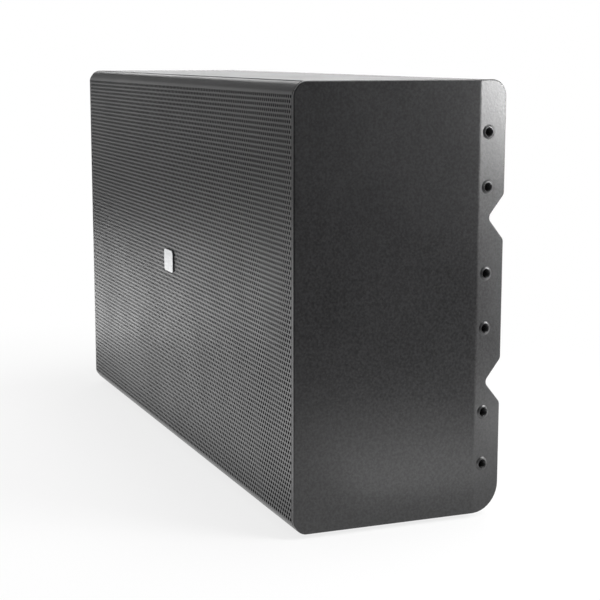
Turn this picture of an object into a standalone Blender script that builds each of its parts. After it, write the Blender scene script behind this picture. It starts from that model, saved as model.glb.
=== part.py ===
"""Line array loudspeaker element, built piece by piece at its real size (metres, +Z up).

The origin is the centre of the footprint, on the surface the feet stand on. The perforated
front faces -Y, the rigging plates close the two ends at -X and +X.
"""
from math import cos, pi, radians, sin, tan

import bmesh
import bpy
from mathutils import Matrix, Vector

# ---- fits ----------------------------------------------------------------------------------
GAP = 0.0003                      # between two pieces that touch
CUT_MARGIN = 0.004                # how far a cutter runs past the faces it opens
MERGE = 0.00001

# ---- cabinet -------------------------------------------------------------------------------
CABINET_WIDTH = 0.526
CABINET_HEIGHT = 0.300
CABINET_DEPTH = 0.156
FOOT_HEIGHT = 0.003
FOOT_RADIUS = 0.010
FOOT_TAPER = 0.001
FOOT_INSET = 0.025                # foot centres, in from the plates' outer faces
FOOT_REAR_Y = 0.040
FOOT_FRONT_Y = -0.030
CHAMFER_DEPTH = 0.0055            # front edges of the section, top and bottom
CHAMFER_HEIGHT = 0.0075
PANEL_THICKNESS = 0.012
TOP_SETBACK = 0.0145              # rear edge of the top panel, in from the plates' rear edge
BOTTOM_SETBACK = 0.0205
BAFFLE_SETBACK = 0.0140
BAFFLE_THICKNESS = 0.012
REAR_PANEL_SETBACK = 0.0225
REAR_PANEL_THICKNESS = 0.009

# ---- rigging side plates -------------------------------------------------------------------
PLATE_THICKNESS = 0.003
FLANGE_DEPTH = 0.0222             # rear strip, from the bend to the rear edge
FLANGE_ANGLE = radians(9.2)       # the strip bends inward by this angle
BEND_RADIUS = 0.008
TOP_CORNER_RADIUS = 0.0115
BOTTOM_CORNER_RADIUS = 0.020
FRONT_CORNER_RADIUS = 0.003
NOTCH_OFFSET = 0.057              # centre of each V notch, from mid height
NOTCH_HALF_WIDTH = 0.0155
NOTCH_DEPTH = 0.0133              # to the sharp vertex, before its rounding
NOTCH_RADIUS = 0.004
ARC_STEPS = 5
INSERT_OFFSETS = (0.115, 0.078, 0.019, -0.019, -0.078, -0.115)
INSERT_SETBACK = 0.0145
INSERT_BORE_RADIUS = 0.0030
INSERT_SHANK_RADIUS = 0.0042
INSERT_HEAD_RADIUS = 0.0055
INSERT_HEAD_THICKNESS = 0.0006
INSERT_LENGTH = 0.012
INSERT_BORE_DEPTH = 0.0105
INSERT_SEGMENTS = 10

# ---- grille --------------------------------------------------------------------------------
GRILLE_THICKNESS = 0.0012
SLOT_PITCH = 0.0130               # four rows of the finest perforation
SLOT_HEIGHT = 0.0060
SLOT_LENGTH = 0.0980
SLOT_BRIDGE = 0.0060
SLOT_SIDE_MARGIN = 0.0025         # least plain strip beside the slots
SLOT_END_MARGIN = 0.0035          # least plain strip above and below them
BADGE_WIDTH = 0.023
BADGE_HEIGHT = 0.018
BADGE_RADIUS = 0.003
BADGE_THICKNESS = 0.0008
BADGE_X = -0.010

# ---- woofers, sizes along the axis run rearward from the baffle's front face -----------------
WOOFER_SIDE_MARGIN = 0.0127       # basket to side plate
WOOFER_SPACING = 0.003            # between the two baskets of a column
WOOFER_SEGMENTS = 16
BASKET_RADIUS = 0.067
BASKET_RIM = 0.010                # width of the flange that lies on the baffle
BASKET_FLANGE = 0.003
BASKET_WALL = 0.0025
BASKET_TAPER = 0.013              # neck to rear ring
BASKET_DEPTH = 0.043
BASKET_CONE_START = 0.006
BASKET_CONE_END = 0.024
BASKET_BORE_PLAY = 0.0058         # rear ring to voice coil former
WINDOW_WIDTH = 0.032
WINDOW_START = 0.0075
WINDOW_END = 0.0225
WINDOW_PAIRS = 3
CONE_LIP = 0.0018
CONE_WALL = 0.0008
CONE_FRONT = -0.0012
CONE_DEPTH = 0.0222
DUST_CAP_LAND = 0.0033            # dust cap past the former
DUST_CAP_RISE = 0.0055
FORMER_RADIUS = 0.0132
FORMER_WALL = 0.0008
FORMER_END = 0.050
COIL_CLEARANCE = 0.0005           # voice coil to pole and to top plate
SURROUND_WALL = 0.0008
SURROUND_EDGE = 0.0025            # flange left bare outside the rubber
SURROUND_LAND = 0.0062            # flat part glued to the flange
SURROUND_ROLL_WIDTH = 0.0080
SURROUND_ROLL_RISE = 0.0047
SPIDER_START = 0.028
SPIDER_WAVE = 0.002
SPIDER_WALL = 0.0008
MOTOR_RADIUS = 0.038
MOTOR_DEPTH = 0.027
MOTOR_CHAMFER = 0.006
COIL_GROOVE_DEPTH = 0.017

# ---- high-frequency section ----------------------------------------------------------------
HF_OFFSET_Z = 0.066
HF_SEGMENTS = 18
HF_RADIUS = 0.040
HF_DEPTH = 0.040
HF_CHAMFER = 0.009
HF_THROAT_RADIUS = 0.0125
HF_FRONT_WALL = 0.004
HF_CHAMBER_RADIUS = 0.030
HF_CHAMBER_DEPTH = 0.008
HF_COIL_RADIUS = 0.0230
HF_COIL_WALL = 0.0008
HF_COIL_LENGTH = 0.008
HF_GROOVE_DEPTH = 0.011
HF_RIM_PLAY = 0.001               # rim of the diaphragm to the chamber's wall
HF_RIM_LIFT = 0.0009              # rim of the diaphragm above the plate behind it
HF_DOME_RISE = 0.0045
WAVEGUIDE_MOUTH = 0.092           # half width at the front
WAVEGUIDE_THROAT = 0.0130         # half width at the rear
WAVEGUIDE_WALL = 0.0040
WAVEGUIDE_FLANGE = 0.003
WAVEGUIDE_SIDE_BORDER = 0.012
WAVEGUIDE_END_BORDER = 0.006
WAVEGUIDE_MARGIN = 0.0047         # mouth flange to top and bottom panels
WAVEGUIDE_REAR_BORDER = 0.002     # throat plate past the drivers
HF_REAR_CLEARANCE = 0.0205        # drivers to rear panel, for the wiring
WAVEGUIDE_PLAY = 0.001            # baffle cutout to waveguide, hidden by the mouth flange
FLARE_STEPS = 7

# ---- rear fittings -------------------------------------------------------------------------
HANDLE_SHIFT = 0.008              # cup centres, in from the woofer axes
HANDLE_WIDTH = 0.112
HANDLE_HEIGHT = 0.050
HANDLE_DEPTH = 0.031
HANDLE_WALL = 0.0025
HANDLE_BORDER = 0.008
HANDLE_LIP = 0.014
INPUT_PLATE_WIDTH = 0.124
INPUT_PLATE_HEIGHT = 0.062
INPUT_PLATE_THICKNESS = 0.002
INPUT_OPENING_WIDTH = 0.100
INPUT_OPENING_HEIGHT = 0.040
SOCKET_X = 0.026
SOCKET_RADIUS = 0.012
SOCKET_LENGTH = 0.023
SOCKET_FLANGE_WIDTH = 0.026
SOCKET_FLANGE_HEIGHT = 0.031
SOCKET_FLANGE_THICKNESS = 0.002
SOCKET_RECESS_RADIUS = 0.0106
SOCKET_HUB_RADIUS = 0.0042
SOCKET_RECESS_DEPTH = 0.018
SOCKET_SEGMENTS = 16
BOARD_CLEARANCE = 0.008           # board to compression drivers
BOARD_WIDTH = 0.062
BOARD_HEIGHT = 0.120
BOARD_THICKNESS = 0.0016
STANDOFF_LENGTH = 0.007
STANDOFF_RADIUS = 0.003
STANDOFF_INSET = 0.007
COIL_RADIUS = 0.015
COIL_HEIGHT = 0.012
CAPACITOR_RADIUS = 0.006
CAPACITOR_HEIGHT = 0.018
PART_OVERLAP = 0.0006             # how far a soldered part sinks into its board

# ---- worked out ----------------------------------------------------------------------------
HALF_WIDTH = CABINET_WIDTH / 2
BADGE_STAND = BADGE_THICKNESS + GAP
FRONT_Y = BADGE_STAND / 2 - CABINET_DEPTH / 2
REAR_Y = FRONT_Y + CABINET_DEPTH
BOTTOM_Z = FOOT_HEIGHT
TOP_Z = BOTTOM_Z + CABINET_HEIGHT
MID_Z = (BOTTOM_Z + TOP_Z) / 2
BEND_Y = REAR_Y - FLANGE_DEPTH
INNER_HALF = HALF_WIDTH - PLATE_THICKNESS - GAP
INNER_BOTTOM_Z = BOTTOM_Z + PANEL_THICKNESS + GAP
INNER_TOP_Z = TOP_Z - PANEL_THICKNESS - GAP
INNER_HEIGHT = INNER_TOP_Z - INNER_BOTTOM_Z
FOOT_X = HALF_WIDTH - FOOT_INSET
BAFFLE_FRONT = FRONT_Y + BAFFLE_SETBACK
BAFFLE_REAR = BAFFLE_FRONT + BAFFLE_THICKNESS
REAR_FACE = REAR_Y - REAR_PANEL_SETBACK
REAR_INNER_FACE = REAR_FACE - REAR_PANEL_THICKNESS
WOOFER_X = INNER_HALF - WOOFER_SIDE_MARGIN - BASKET_RADIUS
WOOFER_OFFSET_Z = BASKET_RADIUS + WOOFER_SPACING / 2
BASKET_NECK_RADIUS = BASKET_RADIUS - BASKET_RIM
BASKET_REAR_RADIUS = BASKET_NECK_RADIUS - BASKET_TAPER
BASKET_BORE_RADIUS = FORMER_RADIUS + BASKET_BORE_PLAY
SURROUND_OUTER = BASKET_RADIUS - SURROUND_EDGE
SURROUND_ROLL_OUTER = SURROUND_OUTER - SURROUND_LAND
CONE_RADIUS = SURROUND_ROLL_OUTER - SURROUND_ROLL_WIDTH - GAP
DUST_CAP_RADIUS = FORMER_RADIUS + DUST_CAP_LAND
MOTOR_START = BASKET_DEPTH + GAP
HF_RIM_RADIUS = HF_CHAMBER_RADIUS - HF_RIM_PLAY
WAVEGUIDE_FRONT = BAFFLE_FRONT - GAP - WAVEGUIDE_FLANGE
WAVEGUIDE_REAR = REAR_INNER_FACE - HF_REAR_CLEARANCE - HF_DEPTH
WAVEGUIDE_HEIGHT = INNER_HEIGHT - 2 * (WAVEGUIDE_MARGIN + WAVEGUIDE_END_BORDER)
WAVEGUIDE_REAR_HALF = HF_RADIUS + WAVEGUIDE_REAR_BORDER
HANDLE_X = WOOFER_X - HANDLE_SHIFT
BOARD_X = -(HF_RADIUS + BOARD_CLEARANCE + BOARD_WIDTH / 2)
SECTION_TURN = (radians(90), 0, radians(90))     # outline (y, z), thickness along X
FACE_TURN = (radians(90), 0, 0)                  # outline (x, z), thickness along Y
REARWARD = (radians(-90), 0, 0)                  # local +Z to world +Y
SIDES = {"right": 1, "left": -1}
LEVELS = {"upper": 1, "lower": -1}


# ---- scene helpers -------------------------------------------------------------------------
def clear_scene():
    """Remove the objects that the scene starts with."""
    for item in list(bpy.data.objects):
        bpy.data.objects.remove(item, do_unlink=True)


def new_collection(name):
    """Return a new collection linked to the scene."""
    collection = bpy.data.collections.new(name)
    bpy.context.scene.collection.children.link(collection)
    return collection


def finish(name, colour, roughness, metallic):
    """Return a Principled material of one colour (linear red, green, blue)."""
    material = bpy.data.materials.new(name)
    material.use_nodes = True
    shader = material.node_tree.nodes["Principled BSDF"]
    shader.inputs["Base Color"].default_value = (*colour, 1.0)
    shader.inputs["Roughness"].default_value = roughness
    shader.inputs["Metallic"].default_value = metallic
    return material


def place(name, mesh, location=(0, 0, 0), rotation=(0, 0, 0), material=None, parent=None):
    """Link an object of the mesh to the part's collection, or to the cutters without a material."""
    item = bpy.data.objects.new(name, mesh)
    item.location = location
    item.rotation_euler = rotation
    item.parent = parent
    if material is None:
        CUTTERS.objects.link(item)
        item.hide_render = True
        item.display_type = "WIRE"
    else:
        PART.objects.link(item)
        if not mesh.materials:
            mesh.materials.append(material)
    return item


def frame(name, location, rotation):
    """Return an empty that carries a unit's pieces on the unit's axis."""
    empty = bpy.data.objects.new(name, None)
    empty.location = location
    empty.rotation_euler = rotation
    PART.objects.link(empty)
    return empty


# ---- mesh helpers --------------------------------------------------------------------------
def mesh_of(build):
    """Return a mesh from a bmesh and free the bmesh."""
    mesh = bpy.data.meshes.new("shape")
    build.to_mesh(mesh)
    build.free()
    return mesh


def boxes(sizes_and_centres):
    """Return one mesh of separate boxes, each given as (size, centre)."""
    build = bmesh.new()
    for size, centre in sizes_and_centres:
        matrix = Matrix.Translation(centre) @ Matrix.Diagonal((*size, 1))
        bmesh.ops.create_cube(build, size=1, matrix=matrix)
    return mesh_of(build)


def cylinders(radius, depth, segments, matrices, tip_radius=None):
    """Return one mesh of separate cylinders along their own Z, centred on the matrices."""
    build = bmesh.new()
    for matrix in matrices:
        bmesh.ops.create_cone(build, cap_ends=True, segments=segments, radius1=radius,
                              radius2=tip_radius or radius, depth=depth, matrix=matrix)
    return mesh_of(build)


def prism(outline, thickness):
    """Return the mesh of a flat outline, thickened equally to both sides along its own Z."""
    curve = bpy.data.curves.new("outline", "CURVE")
    curve.dimensions = "2D"
    curve.fill_mode = "BOTH"
    curve.extrude = thickness / 2
    spline = curve.splines.new("POLY")
    spline.points.add(len(outline) - 1)
    for point, (x, y) in zip(spline.points, outline):
        point.co = (x, y, 0, 1)
    spline.use_cyclic_u = True
    item = bpy.data.objects.new("outline", curve)
    bpy.context.scene.collection.objects.link(item)
    graph = bpy.context.evaluated_depsgraph_get()
    mesh = bpy.data.meshes.new_from_object(item.evaluated_get(graph))
    bpy.data.objects.remove(item, do_unlink=True)
    build = bmesh.new()
    build.from_mesh(mesh)
    bmesh.ops.remove_doubles(build, verts=build.verts, dist=MERGE)
    bmesh.ops.recalc_face_normals(build, faces=build.faces)
    build.to_mesh(mesh)
    build.free()
    return mesh


def rounded(corners):
    """Return an outline whose corners, each (x, y, radius), are rounded by arcs."""
    points = []
    for index, (x, y, radius) in enumerate(corners):
        corner = Vector((x, y))
        if radius == 0:
            points.append(corner)
            continue
        before = (Vector(corners[index - 1][:2]) - corner).normalized()
        after = (Vector(corners[(index + 1) % len(corners)][:2]) - corner).normalized()
        half = before.angle(after) / 2
        centre = corner + (before + after).normalized() * radius / sin(half)
        start = corner + before * radius / tan(half) - centre
        turn = pi - 2 * half
        if before.cross(after) > 0:
            turn = -turn
        for step in range(ARC_STEPS + 1):
            points.append(centre + Matrix.Rotation(turn * step / ARC_STEPS, 2) @ start)
    return points


def turned(profile, segments):
    """Return the mesh of a profile of (radius, height) points, turned about Z.

    A profile that starts and ends on the axis stays open there; any other is a closed ring.
    """
    ring = profile[0][0] > 0
    after = profile[1:] + profile[:1]
    area = sum(r * next_h - next_r * h for (r, h), (next_r, next_h) in zip(profile, after))
    if area > 0:
        profile = profile[::-1]
    build = bmesh.new()
    points = [build.verts.new((radius, 0, height)) for radius, height in profile]
    for start, end in zip(points, points[1:]):
        build.edges.new((start, end))
    if ring:
        build.edges.new((points[-1], points[0]))
    item = bpy.data.objects.new("profile", mesh_of(build))
    screw = item.modifiers.new("turn", "SCREW")
    screw.steps = segments
    screw.render_steps = segments
    screw.use_merge_vertices = True
    screw.merge_threshold = MERGE
    screw.use_smooth_shade = False
    return baked(item)


def baked(item):
    """Return the evaluated mesh of a working object, and remove the object."""
    if not item.users_collection:
        bpy.context.scene.collection.objects.link(item)
    graph = bpy.context.evaluated_depsgraph_get()
    mesh = bpy.data.meshes.new_from_object(item.evaluated_get(graph))
    bpy.data.objects.remove(item, do_unlink=True)
    return mesh


def smooth(mesh):
    """Shade a round piece smooth, with its corners kept sharp."""
    mesh.shade_smooth()
    mesh.set_sharp_from_angle(angle=radians(35))
    return mesh


def combine(item, tool, operation):
    """Cut, join or intersect an object with a tool object."""
    boolean = item.modifiers.new(operation.lower(), "BOOLEAN")
    boolean.operation = operation
    boolean.solver = "EXACT"
    boolean.object = tool


# ---- cabinet -------------------------------------------------------------------------------
def flange_x(y, inset):
    """Return the half width at a point of the bent strip, inset square to the plate."""
    bend_y = BEND_Y + (BEND_RADIUS - inset) * tan(FLANGE_ANGLE / 2)
    return HALF_WIDTH - inset - max(y - bend_y, 0) * tan(FLANGE_ANGLE)


def plate_section(side):
    """Return the plan section of a side plate: straight, bent softly, then the slanted strip."""
    outer = [(HALF_WIDTH, FRONT_Y - CUT_MARGIN)]
    inner = [(HALF_WIDTH - PLATE_THICKNESS, FRONT_Y - CUT_MARGIN)]
    for radius, points in ((BEND_RADIUS, outer), (BEND_RADIUS - PLATE_THICKNESS, inner)):
        for step in range(ARC_STEPS + 1):
            angle = FLANGE_ANGLE * step / ARC_STEPS
            points.append((HALF_WIDTH - BEND_RADIUS + radius * cos(angle), BEND_Y + radius * sin(angle)))
    end_y = REAR_Y + CUT_MARGIN
    outer.append((flange_x(end_y, 0), end_y))
    inner.append((flange_x(end_y, PLATE_THICKNESS), end_y))
    return [(side * x, y) for x, y in outer + inner[::-1]]


def plate_profile():
    """Return the side view of a plate: chamfered front, rounded rear, two V notches."""
    corners = [
        (FRONT_Y + CHAMFER_DEPTH, BOTTOM_Z, 0),
        (REAR_Y, BOTTOM_Z, BOTTOM_CORNER_RADIUS),
    ]
    for notch_z in (MID_Z - NOTCH_OFFSET, MID_Z + NOTCH_OFFSET):
        corners += [
            (REAR_Y, notch_z - NOTCH_HALF_WIDTH, NOTCH_RADIUS),
            (REAR_Y - NOTCH_DEPTH, notch_z, NOTCH_RADIUS),
            (REAR_Y, notch_z + NOTCH_HALF_WIDTH, NOTCH_RADIUS),
        ]
    corners += [
        (REAR_Y, TOP_Z, TOP_CORNER_RADIUS),
        (FRONT_Y + CHAMFER_DEPTH, TOP_Z, 0),
        (FRONT_Y, TOP_Z - CHAMFER_HEIGHT, FRONT_CORNER_RADIUS),
        (FRONT_Y, BOTTOM_Z + CHAMFER_HEIGHT, FRONT_CORNER_RADIUS),
    ]
    return rounded(corners)


def insert_place(side, offset):
    """Return the point on the strip's outer face and the outward angle of an insert."""
    y = REAR_Y - INSERT_SETBACK
    outward = FLANGE_ANGLE if side > 0 else pi - FLANGE_ANGLE
    return Vector((side * flange_x(y, 0), y, MID_Z + offset)), (0, radians(90), outward)


def make_side_plates():
    """Make both rigging plates, each bored for its six inserts."""
    depth = 2 * FLANGE_DEPTH
    for name, side in SIDES.items():
        location = (side * HALF_WIDTH, 0, 0)
        plate = place("side_plate_" + name, prism(plate_profile(), depth), location, SECTION_TURN, PAINT)
        tall = CABINET_HEIGHT + 2 * CUT_MARGIN
        section = place("plate_section_" + name, prism(plate_section(side), tall), (0, 0, MID_Z))
        combine(plate, section, "INTERSECT")
        matrices = []
        for offset in INSERT_OFFSETS:
            point, rotation = insert_place(side, offset)
            turn = Matrix.Rotation(rotation[2], 4, "Z") @ Matrix.Rotation(rotation[1], 4, "Y")
            matrices.append(Matrix.Translation(point) @ turn)
        radius = INSERT_SHANK_RADIUS + GAP
        bores = place("insert_bores_" + name, cylinders(radius, INSERT_LENGTH, INSERT_SEGMENTS, matrices))
        combine(plate, bores, "DIFFERENCE")


def make_inserts():
    """Make the threaded inserts: a head on the plate's face, a shank and a blind bore."""
    head = GAP + INSERT_HEAD_THICKNESS
    profile = [
        (0, head - INSERT_LENGTH), (INSERT_SHANK_RADIUS, head - INSERT_LENGTH),
        (INSERT_SHANK_RADIUS, GAP), (INSERT_HEAD_RADIUS, GAP), (INSERT_HEAD_RADIUS, head),
        (INSERT_BORE_RADIUS, head), (INSERT_BORE_RADIUS, head - INSERT_BORE_DEPTH),
        (0, head - INSERT_BORE_DEPTH),
    ]
    mesh = smooth(turned(profile, INSERT_SEGMENTS))
    for name, side in SIDES.items():
        for number, offset in enumerate(INSERT_OFFSETS, start=1):
            point, rotation = insert_place(side, offset)
            place(f"rigging_insert_{name}_{number}", mesh, point, rotation, STEEL)


def make_panel(name, rear_y, bottom_z):
    """Make the top or the bottom panel, its rear corners tapered to the bent strips."""
    front_y = FRONT_Y + CHAMFER_DEPTH + GAP
    inset = PLATE_THICKNESS + GAP
    bend_y = BEND_Y + (BEND_RADIUS - inset) * tan(FLANGE_ANGLE / 2)
    half = [(INNER_HALF, front_y), (INNER_HALF, bend_y), (flange_x(rear_y, inset), rear_y)]
    outline = half + [(-x, y) for x, y in reversed(half)]
    place(name, prism(outline, PANEL_THICKNESS), (0, 0, bottom_z + PANEL_THICKNESS / 2), (0, 0, 0), PAINT)


def flare_half_width(y):
    """Return the waveguide's inner half width at a depth: a smooth widening toward the mouth."""
    inner_end = WAVEGUIDE_REAR - WAVEGUIDE_WALL
    along = (inner_end - y) / (inner_end - WAVEGUIDE_FRONT)
    return WAVEGUIDE_THROAT + (WAVEGUIDE_MOUTH - WAVEGUIDE_THROAT) * along ** 2


def make_baffle():
    """Make the front baffle with four woofer cutouts and one for the waveguide."""
    size = (2 * INNER_HALF, BAFFLE_THICKNESS, INNER_HEIGHT)
    centre_y = (BAFFLE_FRONT + BAFFLE_REAR) / 2
    baffle = place("front_baffle", boxes([(size, (0, 0, 0))]), (0, centre_y, MID_Z), (0, 0, 0), BLACK_WOOD)
    turn = Matrix.Rotation(radians(90), 4, "X")
    centres = [Matrix.Translation((x * WOOFER_X, centre_y, MID_Z + z * WOOFER_OFFSET_Z)) @ turn
               for x in SIDES.values() for z in LEVELS.values()]
    depth = BAFFLE_THICKNESS + 2 * CUT_MARGIN
    holes = cylinders(BASKET_NECK_RADIUS + 2 * GAP, depth, WOOFER_SEGMENTS, centres)
    combine(baffle, place("woofer_cutouts", holes), "DIFFERENCE")
    half = flare_half_width(BAFFLE_FRONT) + WAVEGUIDE_WALL + WAVEGUIDE_PLAY
    size = (2 * half, depth, WAVEGUIDE_HEIGHT + 2 * WAVEGUIDE_PLAY)
    window = place("waveguide_cutout", boxes([(size, (0, 0, 0))]), (0, centre_y, MID_Z))
    combine(baffle, window, "DIFFERENCE")


def make_rear_panel():
    """Make the rear panel with openings for the handles and the sockets."""
    size = (2 * INNER_HALF, REAR_PANEL_THICKNESS, INNER_HEIGHT)
    centre_y = (REAR_FACE + REAR_INNER_FACE) / 2
    panel = place("rear_panel", boxes([(size, (0, 0, 0))]), (0, centre_y, MID_Z), (0, 0, 0), PAINT)
    depth = REAR_PANEL_THICKNESS + 2 * CUT_MARGIN
    handle = (HANDLE_WIDTH + 2 * GAP, depth, HANDLE_HEIGHT + 2 * GAP)
    sockets = (INPUT_OPENING_WIDTH, depth, INPUT_OPENING_HEIGHT)
    openings = [(handle, (side * HANDLE_X, 0, 0)) for side in SIDES.values()] + [(sockets, (0, 0, 0))]
    combine(panel, place("rear_openings", boxes(openings), (0, centre_y, MID_Z)), "DIFFERENCE")


def make_feet():
    """Make the four low rubber feet."""
    height = FOOT_HEIGHT - GAP
    mesh = smooth(cylinders(FOOT_RADIUS - FOOT_TAPER, height, INSERT_SEGMENTS, [Matrix()], FOOT_RADIUS))
    for name, side in SIDES.items():
        for end, y in (("front", FOOT_FRONT_Y), ("rear", FOOT_REAR_Y)):
            place(f"foot_{end}_{name}", mesh, (side * FOOT_X, y, height / 2), (0, 0, 0), RUBBER)


# ---- grille --------------------------------------------------------------------------------
def make_grille():
    """Make the front sheet, folded over both front chamfers, with staggered rows of slots."""
    lean = GRILLE_THICKNESS * tan(Vector((CHAMFER_HEIGHT, CHAMFER_DEPTH)).angle(Vector((1, 0))) / 2)
    slope = CHAMFER_HEIGHT / CHAMFER_DEPTH
    fold_y = FRONT_Y + CHAMFER_DEPTH
    bend_z = MID_Z - BOTTOM_Z - CHAMFER_HEIGHT
    inner_z = bend_z - lean
    inner_end_z = inner_z + slope * (CHAMFER_DEPTH - GRILLE_THICKNESS)
    upper = [(FRONT_Y, bend_z), (fold_y, bend_z + CHAMFER_HEIGHT), (fold_y, inner_end_z),
             (FRONT_Y + GRILLE_THICKNESS, inner_z)]
    outline = upper + [(y, -z) for y, z in reversed(upper)]
    width = 2 * INNER_HALF
    grille = place("front_grille", prism(outline, width), (0, 0, MID_Z), SECTION_TURN, GRILLE_PAINT)
    size = (SLOT_LENGTH, GRILLE_THICKNESS + 2 * CUT_MARGIN, SLOT_HEIGHT)
    centre_y = FRONT_Y + GRILLE_THICKNESS / 2
    step = SLOT_LENGTH + SLOT_BRIDGE
    per_row = int((width - 2 * SLOT_SIDE_MARGIN + SLOT_BRIDGE) / step)
    open_height = CABINET_HEIGHT - 2 * (CHAMFER_HEIGHT + SLOT_END_MARGIN)
    rows = int((open_height - SLOT_HEIGHT) / SLOT_PITCH) + 1
    slots = []
    for row in range(rows):
        z = (row - (rows - 1) / 2) * SLOT_PITCH
        count = per_row - row % 2
        slots += [(size, ((place_in_row - (count - 1) / 2) * step, 0, z)) for place_in_row in range(count)]
    combine(grille, place("grille_slots", boxes(slots), (0, centre_y, MID_Z)), "DIFFERENCE")


def make_badge():
    """Make the plain metal badge in front of the grille."""
    half_width = BADGE_WIDTH / 2
    half_height = BADGE_HEIGHT / 2
    corners = [(-half_width, -half_height), (half_width, -half_height),
               (half_width, half_height), (-half_width, half_height)]
    mesh = prism(rounded([(x, z, BADGE_RADIUS) for x, z in corners]), BADGE_THICKNESS)
    centre_y = FRONT_Y - GAP - BADGE_THICKNESS / 2
    place("grille_badge", mesh, (BADGE_X, centre_y, MID_Z), FACE_TURN, BADGE_METAL)


# ---- woofers -------------------------------------------------------------------------------
def basket_mesh():
    """Return the woofer frame: flange, windowed cone and rear ring."""
    inner_neck = BASKET_NECK_RADIUS - BASKET_WALL
    inner_rear = BASKET_REAR_RADIUS - BASKET_WALL
    front = -GAP - BASKET_FLANGE
    profile = [
        (BASKET_RADIUS, front), (BASKET_RADIUS, -GAP), (BASKET_NECK_RADIUS, -GAP),
        (BASKET_NECK_RADIUS, BASKET_CONE_START), (BASKET_REAR_RADIUS, BASKET_CONE_END),
        (BASKET_REAR_RADIUS, BASKET_DEPTH), (BASKET_BORE_RADIUS, BASKET_DEPTH),
        (BASKET_BORE_RADIUS, BASKET_DEPTH - BASKET_WALL), (inner_rear, BASKET_DEPTH - BASKET_WALL),
        (inner_rear, BASKET_CONE_END), (inner_neck, BASKET_CONE_START), (inner_neck, front),
    ]
    basket = place("basket_shape", turned(profile, WOOFER_SEGMENTS))
    size = (3 * BASKET_RADIUS, WINDOW_WIDTH, WINDOW_END - WINDOW_START)
    bar = boxes([(size, (0, 0, (WINDOW_START + WINDOW_END) / 2))])
    windows = []
    for number in range(WINDOW_PAIRS):
        window = place(f"basket_window_{number}", bar, (0, 0, 0), (0, 0, pi * number / WINDOW_PAIRS))
        combine(basket, window, "DIFFERENCE")
        windows.append(window)
    mesh = baked(basket)
    for window in windows:
        bpy.data.objects.remove(window, do_unlink=True)
    return mesh


def cone_mesh():
    """Return the moving cone with its lip, dust cap and voice coil former, one turned shell."""
    slope = (CONE_DEPTH - CONE_FRONT) / (CONE_RADIUS - CONE_LIP - FORMER_RADIUS)
    cap_edge = CONE_FRONT + (CONE_RADIUS - CONE_LIP - DUST_CAP_RADIUS) * slope
    former_inner = FORMER_RADIUS - FORMER_WALL
    profile = [
        (0, cap_edge - DUST_CAP_RISE), (DUST_CAP_RADIUS * 0.6, cap_edge - DUST_CAP_RISE * 0.7),
        (DUST_CAP_RADIUS, cap_edge), (CONE_RADIUS - CONE_LIP, CONE_FRONT), (CONE_RADIUS, CONE_FRONT),
        (CONE_RADIUS, CONE_FRONT + CONE_WALL), (CONE_RADIUS - CONE_LIP, CONE_FRONT + CONE_WALL),
        (FORMER_RADIUS, CONE_DEPTH + CONE_WALL), (FORMER_RADIUS, FORMER_END),
        (former_inner, FORMER_END), (former_inner, cap_edge),
        (DUST_CAP_RADIUS * 0.6, cap_edge - DUST_CAP_RISE * 0.7 + CONE_WALL),
        (0, cap_edge - DUST_CAP_RISE + CONE_WALL),
    ]
    return turned(profile, WOOFER_SEGMENTS)


def surround_mesh():
    """Return the rubber half roll between the cone's lip and the basket's flange."""
    inner = CONE_RADIUS + GAP
    seat = -GAP - BASKET_FLANGE - GAP
    face = seat - SURROUND_WALL
    crest = face - SURROUND_ROLL_RISE
    roll = (SURROUND_ROLL_OUTER - inner) / 4
    outer_side = SURROUND_ROLL_OUTER
    profile = [
        (SURROUND_OUTER, face), (outer_side, face), (outer_side - roll, crest), (inner + roll, crest),
        (inner, face), (inner, CONE_FRONT + CONE_WALL), (inner + SURROUND_WALL, CONE_FRONT + CONE_WALL),
        (inner + SURROUND_WALL, face), (inner + roll + SURROUND_WALL / 2, crest + SURROUND_WALL),
        (outer_side - roll - SURROUND_WALL / 2, crest + SURROUND_WALL),
        (outer_side - SURROUND_WALL, seat), (SURROUND_OUTER, seat),
    ]
    return turned(profile, WOOFER_SEGMENTS)


def spider_mesh():
    """Return the corrugated disc that centres the voice coil in the basket."""
    inner = FORMER_RADIUS + GAP
    outer = BASKET_REAR_RADIUS - BASKET_WALL - GAP
    step = (outer - inner) / 3
    front = [(inner + step * number, SPIDER_START + SPIDER_WAVE * (number % 2)) for number in range(4)]
    back = [(radius, height + SPIDER_WALL) for radius, height in reversed(front)]
    return turned(front + back, WOOFER_SEGMENTS)


def motor_mesh():
    """Return the magnet motor with the round groove that the voice coil runs in."""
    pole = FORMER_RADIUS - FORMER_WALL - COIL_CLEARANCE
    plate_bore = FORMER_RADIUS + COIL_CLEARANCE
    groove_end = MOTOR_START + COIL_GROOVE_DEPTH
    end = MOTOR_START + MOTOR_DEPTH
    profile = [
        (0, MOTOR_START), (pole, MOTOR_START), (pole, groove_end), (plate_bore, groove_end),
        (plate_bore, MOTOR_START), (MOTOR_RADIUS, MOTOR_START), (MOTOR_RADIUS, end - MOTOR_CHAMFER),
        (MOTOR_RADIUS - MOTOR_CHAMFER, end), (0, end),
    ]
    return turned(profile, WOOFER_SEGMENTS)


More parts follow.
